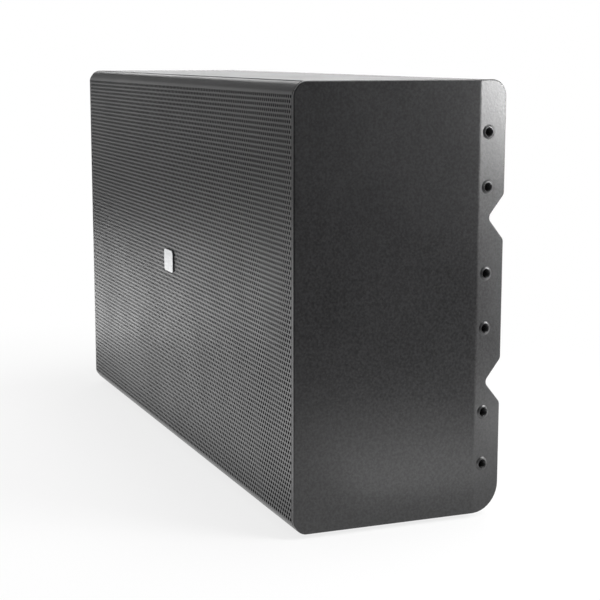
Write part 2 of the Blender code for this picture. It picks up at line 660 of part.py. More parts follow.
def make_woofers():
    """Make the four woofers: basket, surround, cone, spider and motor on one axis each."""
    pieces = {
        "basket": (smooth(basket_mesh()), CAST_METAL),
        "surround": (smooth(surround_mesh()), RUBBER),
        "cone": (smooth(cone_mesh()), CONE_PAPER),
        "spider": (smooth(spider_mesh()), CLOTH),
        "motor": (smooth(motor_mesh()), STEEL),
    }
    for level, up in LEVELS.items():
        for side, right in SIDES.items():
            centre = (right * WOOFER_X, BAFFLE_FRONT, MID_Z + up * WOOFER_OFFSET_Z)
            axis = frame(f"woofer_axis_{level}_{side}", centre, REARWARD)
            for piece, (mesh, material) in pieces.items():
                place(f"woofer_{piece}_{level}_{side}", mesh, material=material, parent=axis)


# ---- high-frequency section ----------------------------------------------------------------
def make_waveguide():
    """Make the vertical-slot waveguide: flared walls, mouth flange, rear plate and throats."""
    inner_end = WAVEGUIDE_REAR - WAVEGUIDE_WALL
    depths = [WAVEGUIDE_FRONT + (inner_end - WAVEGUIDE_FRONT) * step / FLARE_STEPS
              for step in range(FLARE_STEPS + 1)]
    right_side = [(flare_half_width(y) + WAVEGUIDE_WALL, y) for y in depths]
    right_side.append((WAVEGUIDE_THROAT + WAVEGUIDE_WALL, WAVEGUIDE_REAR))
    outline = right_side + [(-x, y) for x, y in reversed(right_side)]
    guide = place("waveguide", prism(outline, WAVEGUIDE_HEIGHT), (0, 0, MID_Z), (0, 0, 0), HORN_PLASTIC)
    flange_width = 2 * (flare_half_width(BAFFLE_FRONT) + WAVEGUIDE_SIDE_BORDER)
    flange_height = WAVEGUIDE_HEIGHT + 2 * WAVEGUIDE_END_BORDER
    flange = ((flange_width, WAVEGUIDE_FLANGE, flange_height), (0, WAVEGUIDE_FRONT + WAVEGUIDE_FLANGE / 2, 0))
    rear_plate = ((2 * WAVEGUIDE_REAR_HALF, WAVEGUIDE_WALL, WAVEGUIDE_HEIGHT),
                  (0, WAVEGUIDE_REAR - WAVEGUIDE_WALL / 2, 0))
    for name, block in (("mouth_flange", flange), ("throat_plate", rear_plate)):
        combine(guide, place(name, boxes([block]), (0, 0, MID_Z)), "UNION")
    depths[0] = WAVEGUIDE_FRONT - CUT_MARGIN
    right_side = [(flare_half_width(y), y) for y in depths]
    outline = right_side + [(-x, y) for x, y in reversed(right_side)]
    flare = place("waveguide_flare", prism(outline, WAVEGUIDE_HEIGHT - 2 * WAVEGUIDE_WALL), (0, 0, MID_Z))
    combine(guide, flare, "DIFFERENCE")
    turn = Matrix.Rotation(radians(90), 4, "X")
    throats = [Matrix.Translation((0, WAVEGUIDE_REAR, MID_Z + up * HF_OFFSET_Z)) @ turn
               for up in LEVELS.values()]
    depth = 2 * WAVEGUIDE_WALL + CUT_MARGIN
    holes = place("waveguide_throats", cylinders(HF_THROAT_RADIUS, depth, HF_SEGMENTS, throats))
    combine(guide, holes, "DIFFERENCE")


def hf_driver_mesh():
    """Return the compression driver: throat, diaphragm chamber and coil groove, open in front."""
    plate = HF_FRONT_WALL + HF_CHAMBER_DEPTH
    pole = HF_COIL_RADIUS - HF_COIL_WALL - COIL_CLEARANCE
    plate_bore = HF_COIL_RADIUS + COIL_CLEARANCE
    profile = [
        (0, plate), (pole, plate), (pole, plate + HF_GROOVE_DEPTH), (plate_bore, plate + HF_GROOVE_DEPTH),
        (plate_bore, plate), (HF_CHAMBER_RADIUS, plate), (HF_CHAMBER_RADIUS, HF_FRONT_WALL),
        (HF_THROAT_RADIUS, HF_FRONT_WALL), (HF_THROAT_RADIUS, 0), (HF_RADIUS, 0),
        (HF_RADIUS, HF_DEPTH - HF_CHAMFER), (HF_RADIUS - HF_CHAMFER, HF_DEPTH), (0, HF_DEPTH),
    ]
    return turned(profile, HF_SEGMENTS)


def hf_diaphragm_mesh():
    """Return the moving dome with its rim and its coil former."""
    back = HF_FRONT_WALL + HF_CHAMBER_DEPTH - HF_RIM_LIFT
    front = back - HF_COIL_WALL
    coil_inner = HF_COIL_RADIUS - HF_COIL_WALL
    shoulder = coil_inner * 0.7
    profile = [
        (0, front - HF_DOME_RISE), (shoulder, front - HF_DOME_RISE / 2), (coil_inner, front),
        (HF_RIM_RADIUS, front), (HF_RIM_RADIUS, back), (HF_COIL_RADIUS, back),
        (HF_COIL_RADIUS, back + HF_COIL_LENGTH), (coil_inner, back + HF_COIL_LENGTH),
        (coil_inner, back), (shoulder, back - HF_DOME_RISE / 2), (0, back - HF_DOME_RISE),
    ]
    return turned(profile, HF_SEGMENTS)


def make_hf_units():
    """Make both compression drivers and their diaphragms behind the waveguide."""
    driver = smooth(hf_driver_mesh())
    diaphragm = smooth(hf_diaphragm_mesh())
    for level, up in LEVELS.items():
        centre = (0, WAVEGUIDE_REAR + GAP, MID_Z + up * HF_OFFSET_Z)
        axis = frame("hf_axis_" + level, centre, REARWARD)
        place("hf_driver_" + level, driver, material=STEEL, parent=axis)
        place("hf_diaphragm_" + level, diaphragm, material=TITANIUM, parent=axis)


# ---- rear fittings -------------------------------------------------------------------------
def make_handles():
    """Make the moulded grip cups: a flange, a cup and a lip that the fingers hook behind."""
    flange_y = REAR_FACE + GAP + HANDLE_WALL
    border = 2 * HANDLE_BORDER
    flange = ((HANDLE_WIDTH + border, HANDLE_WALL, HANDLE_HEIGHT + border), (0, -HANDLE_WALL / 2, 0))
    cup = ((HANDLE_WIDTH, HANDLE_DEPTH, HANDLE_HEIGHT), (0, -HANDLE_DEPTH / 2, 0))
    inner_width = HANDLE_WIDTH - 2 * HANDLE_WALL
    inner_height = HANDLE_HEIGHT - 2 * HANDLE_WALL
    hollow_depth = HANDLE_DEPTH - 2 * HANDLE_WALL
    hollow = ((inner_width, hollow_depth, inner_height), (0, -HANDLE_DEPTH / 2, 0))
    mouth = ((inner_width, HANDLE_DEPTH, inner_height - HANDLE_LIP), (0, 0, -HANDLE_LIP / 2))
    for name, side in SIDES.items():
        location = (side * HANDLE_X, flange_y, MID_Z)
        handle = place("rear_handle_" + name, boxes([flange]), location, (0, 0, 0), HANDLE_PLASTIC)
        for tool_name, block, operation in (("handle_cup_", cup, "UNION"),
                                            ("handle_hollow_", hollow, "DIFFERENCE"),
                                            ("handle_mouth_", mouth, "DIFFERENCE")):
            combine(handle, place(tool_name + name, boxes([block]), location), operation)


def make_input_plate():
    """Make the connector plate with two round holes."""
    size = (INPUT_PLATE_WIDTH, INPUT_PLATE_THICKNESS, INPUT_PLATE_HEIGHT)
    centre = (0, REAR_FACE + GAP + INPUT_PLATE_THICKNESS / 2, MID_Z)
    plate = place("input_plate", boxes([(size, (0, 0, 0))]), centre, (0, 0, 0), BLACK_METAL)
    turn = Matrix.Rotation(radians(90), 4, "X")
    centres = [Matrix.Translation((side * SOCKET_X, 0, 0)) @ turn for side in SIDES.values()]
    depth = INPUT_PLATE_THICKNESS + 2 * CUT_MARGIN
    holes = place("socket_holes", cylinders(SOCKET_RADIUS + GAP, depth, SOCKET_SEGMENTS, centres), centre)
    combine(plate, holes, "DIFFERENCE")


def make_sockets():
    """Make the two round link sockets, each with a hub in an open ring."""
    face_y = REAR_FACE + 2 * GAP + INPUT_PLATE_THICKNESS + SOCKET_FLANGE_THICKNESS
    half_width = SOCKET_FLANGE_WIDTH / 2
    half_height = SOCKET_FLANGE_HEIGHT / 2
    corners = [(-half_width, -half_height), (half_width, -half_height),
               (half_width, half_height), (-half_width, half_height)]
    outline = rounded([(x, z, BADGE_RADIUS) for x, z in corners])
    body_length = SOCKET_LENGTH - SOCKET_FLANGE_THICKNESS / 2
    body = cylinders(SOCKET_RADIUS, body_length, SOCKET_SEGMENTS, [Matrix()])
    recess = turned([(SOCKET_RECESS_RADIUS, CUT_MARGIN), (SOCKET_RECESS_RADIUS, -SOCKET_RECESS_DEPTH),
                     (SOCKET_HUB_RADIUS, -SOCKET_RECESS_DEPTH), (SOCKET_HUB_RADIUS, CUT_MARGIN)],
                    SOCKET_SEGMENTS)
    for name, side in SIDES.items():
        x = side * SOCKET_X
        flange_y = face_y - SOCKET_FLANGE_THICKNESS / 2
        flange = prism(outline, SOCKET_FLANGE_THICKNESS)
        socket = place("link_socket_" + name, flange, (x, flange_y, MID_Z), FACE_TURN, HANDLE_PLASTIC)
        body_y = flange_y - body_length / 2
        combine(socket, place("socket_body_" + name, body, (x, body_y, MID_Z), REARWARD), "UNION")
        combine(socket, place("socket_recess_" + name, recess, (x, face_y, MID_Z), REARWARD), "DIFFERENCE")


def make_crossover():
    """Make the crossover board on its standoffs, with two coils and four capacitors."""
    board_y = REAR_INNER_FACE - GAP - STANDOFF_LENGTH
    centre = (BOARD_X, board_y - BOARD_THICKNESS / 2, MID_Z)
    size = (BOARD_WIDTH, BOARD_THICKNESS, BOARD_HEIGHT)
    board = place("crossover_board", boxes([(size, (0, 0, 0))]), centre, (0, 0, 0), BOARD_GREEN)
    turn = Matrix.Rotation(radians(90), 4, "X")
    standoff_x = BOARD_WIDTH / 2 - STANDOFF_INSET
    standoff_z = BOARD_HEIGHT / 2 - STANDOFF_INSET
    behind = BOARD_THICKNESS / 2 - PART_OVERLAP
    columns = (-BOARD_WIDTH / 4, BOARD_WIDTH / 4)
    rows = (-BOARD_HEIGHT / 3, BOARD_HEIGHT / 3)
    parts = {
        "standoffs": (STANDOFF_RADIUS, STANDOFF_LENGTH + PART_OVERLAP, 1,
                      [(x, z) for x in (-standoff_x, standoff_x) for z in (-standoff_z, standoff_z)]),
        "coils": (COIL_RADIUS, COIL_HEIGHT, -1, [(0, z) for z in rows]),
        "capacitors": (CAPACITOR_RADIUS, CAPACITOR_HEIGHT, -1,
                       [(x, z) for x in columns for z in (-BOARD_HEIGHT / 12, BOARD_HEIGHT / 12)]),
    }
    for name, (radius, length, direction, spots) in parts.items():
        y = direction * (behind + length / 2)
        matrices = [Matrix.Translation((x, y, z)) @ turn for x, z in spots]
        tool = place("board_" + name, cylinders(radius, length, INSERT_SEGMENTS, matrices), centre)
        combine(board, tool, "UNION")


clear_scene()
PART = new_collection("line_array_speaker")
CUTTERS = new_collection("cutters")
PAINT = finish("satin_black_powder_coat", (0.030, 0.030, 0.031), 0.45, 0.0)
GRILLE_PAINT = finish("grille_powder_coat", (0.040, 0.040, 0.041), 0.40, 0.0)
BLACK_WOOD = finish("black_stained_plywood", (0.012, 0.012, 0.012), 0.70, 0.0)
BLACK_METAL = finish("black_anodised_aluminium", (0.020, 0.020, 0.021), 0.35, 0.8)
BADGE_METAL = finish("brushed_aluminium", (0.680, 0.680, 0.690), 0.30, 1.0)
STEEL = finish("zinc_plated_steel", (0.350, 0.350, 0.360), 0.35, 1.0)
CAST_METAL = finish("black_cast_aluminium", (0.030, 0.030, 0.030), 0.50, 0.6)
TITANIUM = finish("titanium_foil", (0.450, 0.440, 0.430), 0.30, 1.0)
RUBBER = finish("black_rubber", (0.010, 0.010, 0.010), 0.70, 0.0)
CONE_PAPER = finish("coated_paper_cone", (0.018, 0.018, 0.018), 0.60, 0.0)
CLOTH = finish("treated_cotton_spider", (0.320, 0.210, 0.080), 0.85, 0.0)
HORN_PLASTIC = finish("moulded_black_plastic", (0.016, 0.016, 0.016), 0.45, 0.0)
HANDLE_PLASTIC = finish("textured_black_plastic", (0.018, 0.018, 0.018), 0.55, 0.0)
BOARD_GREEN = finish("green_circuit_board", (0.020, 0.120, 0.040), 0.40, 0.0)

make_side_plates()
make_inserts()
make_panel("top_panel", REAR_Y - TOP_SETBACK, TOP_Z - PANEL_THICKNESS)
make_panel("bottom_panel", REAR_Y - BOTTOM_SETBACK, BOTTOM_Z)
make_baffle()
make_rear_panel()
make_feet()
make_grille()
make_badge()
make_woofers()
make_waveguide()
make_hf_units()
make_handles()
make_input_plate()
make_sockets()
make_crossover()
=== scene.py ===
"""Line array speaker, dressed for its picture.

A slim loudspeaker element: a perforated steel front folded over two chamfers, bent and
notched rigging plates with threaded inserts at both ends, a plain metal badge, and behind
the perforation four woofers on either side of a tall flared waveguide. Every piece is
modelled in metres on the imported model, which is the frame.
"""
from __future__ import annotations

import logging
import math
from collections.abc import Callable, Iterable, Iterator, Sequence
from contextlib import contextmanager
from dataclasses import dataclass
from enum import Enum

import bmesh
import bpy
from mathutils import Matrix, Vector


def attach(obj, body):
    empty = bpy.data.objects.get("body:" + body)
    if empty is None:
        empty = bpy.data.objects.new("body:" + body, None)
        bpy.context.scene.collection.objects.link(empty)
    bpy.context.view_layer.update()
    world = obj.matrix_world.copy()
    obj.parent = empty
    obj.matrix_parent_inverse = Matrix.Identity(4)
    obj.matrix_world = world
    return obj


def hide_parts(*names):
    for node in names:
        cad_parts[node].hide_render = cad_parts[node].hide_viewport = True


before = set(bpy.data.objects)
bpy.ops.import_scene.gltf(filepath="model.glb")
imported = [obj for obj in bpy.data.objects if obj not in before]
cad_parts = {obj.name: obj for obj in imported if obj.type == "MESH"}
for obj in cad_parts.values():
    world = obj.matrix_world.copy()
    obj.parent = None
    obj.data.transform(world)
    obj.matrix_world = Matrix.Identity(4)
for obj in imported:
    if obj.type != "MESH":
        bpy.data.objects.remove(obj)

LOG = logging.getLogger("line_array_speaker")
MM = 0.001
PIXELS = 600
CABINET = "cabinet"
FRONT_Y = -0.07745
REAR_Y = 0.07855
BOTTOM_Z = 0.003
TOP_Z = 0.303
MID_Z = 0.153
HALF_WIDTH = 0.263
PLATE_THICKNESS = 0.003
CLEARANCE = 0.0003
INNER_HALF = HALF_WIDTH - PLATE_THICKNESS - CLEARANCE
BAFFLE_Y = -0.06345
REAR_FACE_Y = 0.05605
BEND_Y = 0.05635
BEND_RADIUS = 0.008
BEND_ANGLE = math.radians(9.2)
PANEL_THICKNESS = 0.012
MIRROR = Matrix.Scale(-1, 4, (1, 0, 0))

Piece = bpy.types.Object
NodeTree = bpy.types.NodeTree
NodeSocket = bpy.types.NodeSocket
Corner = tuple[float, float, float]


class Side(Enum):
    """An end of the cabinet, as the sign of its X."""

    RIGHT = 1
    LEFT = -1

    @property
    def label(self) -> str:
        """Return the word that the nodes use."""
        return self.name.lower()


class Level(Enum):
    """A row of drivers, as the sign of its height from the middle."""

    UPPER = 1
    LOWER = -1

    @property
    def label(self) -> str:
        """Return the word that the nodes use."""
        return self.name.lower()


class Pick(Enum):
    """What a selection in edit mode is made of."""

    VERTICES = "VERT"
    EDGES = "EDGE"
    FACES = "FACE"


# ---- colour and nodes ------------------------------------------------------------------
def linear(code: str) -> tuple[float, float, float, float]:
    """Turn an sRGB hex colour into a linear one.

    Args:
        code: The colour, such as "#2A2A2B".

    Returns:
        Linear red, green, blue and an alpha of 1.
    """
    parts = [int(code[place:place + 2], 16) / 255 for place in (1, 3, 5)]
    red, green, blue = (p / 12.92 if p <= 0.04045 else ((p + 0.055) / 1.055) ** 2.4 for p in parts)
    return red, green, blue, 1.0


def add_node(
    tree: NodeTree,
    kind: str,
    settings: dict[str | int, object] | None = None,
    links: dict[str | int, NodeSocket] | None = None,
) -> bpy.types.Node:
    """Add a node with its settings and links.

    Args:
        tree: The node tree it goes in.
        kind: The node's type.
        settings: Properties by name, and unlinked inputs by socket name or number.
        links: The sockets that feed its inputs.

    Returns:
        The new node.
    """
    node = tree.nodes.new(kind)
    for key, value in (settings or {}).items():
        if isinstance(key, str) and hasattr(node, key):
            setattr(node, key, value)
        else:
            node.inputs[key].default_value = value
    for key, source in (links or {}).items():
        tree.links.new(source, node.inputs[key])
    return node


def remapped(
    tree: NodeTree, value: NodeSocket, low: float, high: float, to_low: float = 0.0, to_high: float = 1.0
) -> NodeSocket:
    """Return a value stretched from one range to another and held inside it."""
    limits = {"From Min": low, "From Max": high, "To Min": to_low, "To Max": to_high}
    return add_node(tree, "ShaderNodeMapRange", limits, {"Value": value}).outputs[0]


def calculated(tree: NodeTree, operation: str, first: NodeSocket, second: NodeSocket) -> NodeSocket:
    """Return what a math node makes of two values."""
    return add_node(tree, "ShaderNodeMath", {"operation": operation}, {0: first, 1: second}).outputs[0]


def pattern_scale(millimetres: float) -> float:
    """Return the texture scale whose features have that size in the real world."""
    return 1 / (millimetres * MM)


# ---- finishes --------------------------------------------------------------------------
@dataclass(frozen=True)
class Finish:
    """A surface with two tones mixed by a fine noise, and a bump of the same grain.

    Args:
        name: The real material and how its surface was made.
        slot: The material slot of the record that it belongs to. It is not used.
        dark: The darker tone.
        light: The lighter tone.
        roughness: The mean roughness.
        metallic: 1 for bare metal, 0 for paint, plastic, rubber and paper.
        grain: The size of the surface grain in millimetres.
        relief: The height of the grain in millimetres.
        contrast: How far the tones part, from 0 to 1.
        ior: The index of refraction of a coating or plastic.
        stretch: How much longer the grain is along X, Y and Z.
    """

    name: str
    slot: str
    dark: str
    light: str
    roughness: float
    metallic: float = 0.0
    grain: float = 1.0
    relief: float = 0.05
    contrast: float = 0.5
    ior: float = 1.5
    stretch: tuple[float, float, float] = (1.0, 1.0, 1.0)

    def material(self) -> bpy.types.Material:
        """Return the material, mixed once and then shared by every piece that has it."""
        made = bpy.data.materials.get(self.name)
        if made:
            return made
        made = bpy.data.materials.new(self.name)
        made.use_nodes = True
        tree = made.node_tree
        tree.nodes.clear()
        self.mix(tree)
        return made

    def mix(self, tree: NodeTree) -> None:
        """Fill the material's node tree.

        Args:
            tree: The empty node tree.
        """
        place = add_node(tree, "ShaderNodeTexCoord").outputs["Object"]
        turned_place = add_node(
            tree, "ShaderNodeMapping", {"Scale": [1 / part for part in self.stretch]}, {"Vector": place}
        ).outputs[0]
        grain = add_node(
            tree, "ShaderNodeTexNoise",
            {"Scale": pattern_scale(self.grain), "Detail": 2.0, "Roughness": 0.55},
            {"Vector": turned_place},
        ).outputs[0]
        cloud = add_node(
            tree, "ShaderNodeTexNoise", {"Scale": pattern_scale(45), "Detail": 3.0}, {"Vector": place}
        ).outputs[0]
        tone = self.tone(tree, place, grain)
        colour = add_node(
            tree, "ShaderNodeMix",
            {"data_type": "RGBA", 6: linear(self.dark), 7: linear(self.light)},
            {0: tone},
        ).outputs[2]
        gloss = remapped(tree, cloud, 0.3, 0.7, self.roughness - 0.02, self.roughness + 0.02)
        bump = add_node(
            tree, "ShaderNodeBump", {"Strength": 1.0, "Distance": self.relief * MM},
            {"Height": self.height(tree, place, grain)},
        ).outputs[0]
        shader = add_node(
            tree, "ShaderNodeBsdfPrincipled", self.constants(),
            {"Base Color": colour, "Roughness": gloss, "Normal": bump},
        ).outputs[0]
        add_node(tree, "ShaderNodeOutputMaterial", links={"Surface": shader})

    def constants(self) -> dict[str | int, object]:
        """Return the shader's fixed inputs. A bare metal keeps the default IOR."""
        return {"Metallic": 1.0} if self.metallic else {"IOR": self.ior}

    def tone(self, tree: NodeTree, place: NodeSocket, grain: NodeSocket) -> NodeSocket:
        """Return the mix between the two tones: the grain itself, spread by the contrast.

        Args:
            tree: The node tree.
            place: Object coordinates.
            grain: The fine noise.

        Returns:
            A value from 0, dark, to 1, light.
        """
        half = 0.5 * (1 - self.contrast)
        return remapped(tree, grain, 0.32, 0.68, half, 1 - half)

    def height(self, tree: NodeTree, place: NodeSocket, grain: NodeSocket) -> NodeSocket:
        """Return the bump's height, which is the grain unless a finish adds to it."""
        return grain


@dataclass(frozen=True)
class PowderCoat(Finish):
    """Polyester powder baked on steel: an orange-peel skin with tiny bright grains in it.

    Args:
        speck: The size of the bright grains in millimetres, or 0 for none.
    """

    speck: float = 0.9

    def tone(self, tree: NodeTree, place: NodeSocket, grain: NodeSocket) -> NodeSocket:
        """Return the mottled tone with the bright grains added."""
        mottle = Finish.tone(self, tree, place, grain)
        if not self.speck:
            return mottle
        # The real grains are 0.1 to 0.2 mm across. They are drawn larger, so that they show.
        dots = add_node(
            tree, "ShaderNodeTexVoronoi", {"Scale": pattern_scale(self.speck * 3)}, {"Vector": place}
        ).outputs["Distance"]
        mask = remapped(tree, dots, 0.20, 0.06)
        return add_node(
            tree, "ShaderNodeMath", {"operation": "MULTIPLY_ADD", "use_clamp": True, 1: 0.8},
            {0: mask, 2: mottle},
        ).outputs[0]


@dataclass(frozen=True)
class WovenCloth(Finish):
    """Cotton cloth stiffened with resin: crossing threads, drawn coarse enough to show.

    Args:
        thread: The spacing of the threads in millimetres.
    """

    thread: float = 1.2

    def height(self, tree: NodeTree, place: NodeSocket, grain: NodeSocket) -> NodeSocket:
        """Return the weave: two bands of threads at right angles."""
        scale = pattern_scale(self.thread) / 20
        waves = [
            add_node(
                tree, "ShaderNodeTexWave",
                {"wave_type": "BANDS", "bands_direction": direction, "Scale": scale, "Distortion": 0.6},
                {"Vector": place},
            ).outputs["Fac"]
            for direction in ("X", "Z")
        ]
        return calculated(tree, "MAXIMUM", *waves)


@dataclass(frozen=True)
class CircuitLaminate(Finish):
    """Glass laminate under green lacquer, with the copper tracks as a low stepped relief."""

    def height(self, tree: NodeTree, place: NodeSocket, grain: NodeSocket) -> NodeSocket:
        """Return the tracks' relief: square cells with flat tops."""
        cells = add_node(
            tree, "ShaderNodeTexVoronoi", {"distance": "CHEBYCHEV", "Scale": pattern_scale(6)},
            {"Vector": place},
        ).outputs["Distance"]
        return add_node(tree, "ShaderNodeMath", {"operation": "GREATER_THAN", 1: 0.42}, {0: cells}).outputs[0]


# Satin polyester powder on the rigging plates: almost black, mottled, softly bright at a
# grazing angle, with the orange peel of a thick baked coat.
PLATE_POWDER = PowderCoat(
    "satin_powder_coat_on_steel", "side_plate_paint", "#0F0F10", "#2B2B2C", 0.31,
    grain=1.7, relief=0.045, contrast=0.85, ior=1.58,
)
# A thinner coat on the perforated sheet: smoother and a little lighter, with no grains.
GRILLE_POWDER = PowderCoat(
    "fine_powder_coat_on_perforated_steel", "grille_paint", "#29292A", "#363637", 0.40,
    grain=1.0, relief=0.02, contrast=0.4, speck=0.0,
)
# Structured paint sprayed on birch plywood: a pebbled skin that scatters the light.
PANEL_PAINT = PowderCoat(
    "structured_paint_on_birch_plywood", "panel_paint", "#1D1D1E", "#343435", 0.50,
    grain=1.6, relief=0.09, contrast=0.6,
)
# Black stain on the plywood baffle: dull, with the grain running across.
BAFFLE_STAIN = Finish(
    "black_stained_birch_plywood", "baffle_stain", "#0C0C0C", "#1A1918", 0.70,
    grain=1.5, relief=0.03, contrast=0.7, stretch=(14.0, 1.0, 1.0),
)
# Brushed and clear-anodised aluminium: fine lines from side to side, bright and soft.
BRUSHED_ALUMINIUM = Finish(
    "brushed_anodised_aluminium", "badge_metal", "#A9AAAB", "#CBCCCD", 0.38, 1.0,
    grain=0.35, relief=0.012, contrast=0.7, stretch=(18.0, 1.0, 1.0),
)
# The inserts are coated with the plates: smoother than the flats, because the powder draws
# thin over a turned rim, so that the rim catches a crescent of light.
COATED_INSERT = Finish(
    "powder_coat_on_turned_steel_insert", "insert_steel", "#161617", "#242425", 0.32,
    grain=1.0, relief=0.01, contrast=0.4, ior=1.58,
)
# Black phosphate on the small screws: dark steel with an oily sheen.
BLACK_SCREW = Finish(
    "black_phosphated_steel_screw", "insert_steel", "#232324", "#3B3B3D", 0.38, 1.0,
    grain=0.6, relief=0.008, contrast=0.5,
)
# Vulcanised rubber: matt black, faintly dusty.
MOULDED_RUBBER = Finish(
    "moulded_black_rubber", "foot_rubber", "#0E0E0E", "#1C1C1C", 0.72,
    grain=0.9, relief=0.02, contrast=0.4, ior=1.52,
)
SURROUND_RUBBER = Finish(
    "moulded_butyl_surround", "surround_rubber", "#0D0D0E", "#191919", 0.55,
    grain=0.7, relief=0.01, contrast=0.4, ior=1.52,
)
# Pressed paper pulp with a black water-repellent coat: short fibres lying every way.
PULP_CONE = Finish(
    "coated_pressed_paper_pulp", "cone_paper", "#101010", "#262524", 0.66,
    grain=1.1, relief=0.06, contrast=0.8,
)
# Resin-treated cotton of the spider: brown, dry and woven.
SPIDER_COTTON = WovenCloth(
    "resin_treated_cotton_spider", "spider_cloth", "#7A5526", "#B58A4A", 0.85,
    grain=0.8, relief=0.12, contrast=0.8,
)
# Die-cast aluminium frame under black paint: a soft satin with a fine cast skin.
CAST_FRAME = Finish(
    "painted_die_cast_aluminium", "basket_casting", "#151516", "#29292A", 0.48,
    grain=1.2, relief=0.04, contrast=0.5,
)
MOTOR_ZINC = Finish(
    "zinc_plated_magnet_steel", "motor_steel", "#55575A", "#86898C", 0.38, 1.0,
    grain=1.2, relief=0.012, contrast=0.6,
)
# Rolled titanium foil: fine lines from the rolls.
TITANIUM_FOIL = Finish(
    "rolled_titanium_foil", "diaphragm_foil", "#8E8C88", "#B9B6B0", 0.30, 1.0,
    grain=0.4, relief=0.006, contrast=0.5, stretch=(10.0, 1.0, 1.0),
)
# Injection-moulded ABS with a fine spark-eroded texture.
HORN_ABS = Finish(
    "moulded_abs_waveguide", "horn_plastic", "#141415", "#222223", 0.46,
    grain=0.9, relief=0.03, contrast=0.4, ior=1.54,
)
HANDLE_NYLON = Finish(
    "moulded_glass_filled_nylon", "handle_plastic", "#161617", "#292929", 0.55,
    grain=1.1, relief=0.05, contrast=0.5, ior=1.53,
)
SOCKET_NYLON = Finish(
    "moulded_nylon_connector", "socket_plastic", "#131314", "#242425", 0.40,
    grain=0.6, relief=0.01, contrast=0.4, ior=1.53,
)
# Hard black anodising on a rolled plate: fine horizontal lines in a dark metal.
BLACK_ANODISED = Finish(
    "black_anodised_aluminium", "connector_plate_metal", "#1F1F21", "#313134", 0.36, 1.0,
    grain=0.5, relief=0.01, contrast=0.5, stretch=(16.0, 1.0, 1.0),
)
BRASS_CONTACT = Finish(
    "nickel_plated_brass_contact", "socket_plastic", "#9A9486", "#C4BDAA", 0.28, 1.0,
    grain=0.5, relief=0.006, contrast=0.4,
)
GREEN_LAMINATE = CircuitLaminate(
    "lacquered_glass_laminate", "circuit_board", "#0E3B20", "#1C5C33", 0.38,
    grain=2.0, relief=0.05, contrast=0.7,
)


# ---- bench: selecting, drawing, turning and finishing meshes -----------------------------
def activate(piece: Piece) -> None:
    """Select one object alone and make it the active one."""
    bpy.ops.object.select_all(action="DESELECT")
    piece.select_set(True)
    bpy.context.view_layer.objects.active = piece


@contextmanager
def editing(piece: Piece) -> Iterator[None]:
    """Open a mesh in edit mode with all of it selected, and close it again."""
    activate(piece)
    bpy.ops.object.mode_set(mode="EDIT")
    bpy.ops.mesh.select_all(action="SELECT")
    yield
    bpy.ops.object.mode_set(mode="OBJECT")


def pick(piece: Piece, kind: Pick, test: Callable[..., bool]) -> int:
    """Select the parts of the mesh in edit mode that pass a test, and nothing else.

    Args:
        piece: The object in edit mode.
        kind: Vertices, edges or faces.
        test: Takes a part of the mesh and says whether it is selected.

    Returns:
        How many parts were selected.
    """
    bpy.ops.mesh.select_mode(type=kind.value)
    bpy.ops.mesh.select_all(action="DESELECT")
    mesh = bmesh.from_edit_mesh(piece.data)
    parts = {Pick.VERTICES: mesh.verts, Pick.EDGES: mesh.edges, Pick.FACES: mesh.faces}[kind]
    chosen = [part for part in parts if test(part)]
    for part in chosen:
        part.select_set(True)
    mesh.select_flush_mode()
    bmesh.update_edit_mesh(piece.data)
    return len(chosen)


def named(name: str) -> Piece:
    """Give the object just added its name, and return it."""
    piece = bpy.context.object
    piece.name = name
    piece.data.name = name
    return piece


def drawn_line(name: str, points: Sequence[Vector]) -> Piece:
    """Draw a line of edges, point by point, by extruding one vertex.

    Args:
        name: The new object's name.
        points: The places that the line runs through.

    Returns:
        The object, with the line as its mesh.
    """
    bpy.ops.object.select_all(action="DESELECT")
    bpy.ops.mesh.primitive_plane_add(size=2 * MM)
    line = named(name)
    with editing(line):
        pick(line, Pick.VERTICES, lambda vertex: vertex.index > 0)
        bpy.ops.mesh.delete(type="VERT")
        bpy.ops.mesh.select_all(action="SELECT")
        bpy.ops.transform.translate(value=points[0] - Vector((-MM, -MM, 0)))
        for start, end in zip(points, points[1:]):
            bpy.ops.mesh.extrude_vertices_move(TRANSFORM_OT_translate={"value": end - start})
    return line


def extrude(offset: Sequence[float]) -> None:
    """Extrude what is selected in edit mode, and move it."""
    bpy.ops.mesh.extrude_region_move(TRANSFORM_OT_translate={"value": offset})


def resize_about(centre: Sequence[float], factors: Sequence[float]) -> None:
    """Resize what is selected in edit mode about a point."""
    bpy.ops.transform.resize(value=factors, center_override=centre)


def turned(name: str, profile: Sequence[tuple[float, float]], segments: int) -> Piece:
    """Turn a profile about the Y axis, as on a lathe.

    Args:
        name: The new object's name.
        profile: (radius, y) points, from axis to axis or round a closed loop.
        segments: How many sides the turned piece has.

    Returns:
        The closed turned piece.
    """
    piece = drawn_line(name, [Vector((radius, y, 0)) for radius, y in profile])
    with editing(piece):
        bpy.ops.mesh.spin(steps=segments, angle=math.tau, center=(0, 0, 0), axis=(0, 1, 0))
        bpy.ops.mesh.select_all(action="SELECT")
        bpy.ops.mesh.remove_doubles(threshold=0.002 * MM)
        bpy.ops.mesh.dissolve_degenerate(threshold=0.001 * MM)
        bpy.ops.mesh.select_all(action="SELECT")
        bpy.ops.mesh.normals_make_consistent(inside=False)
    return piece


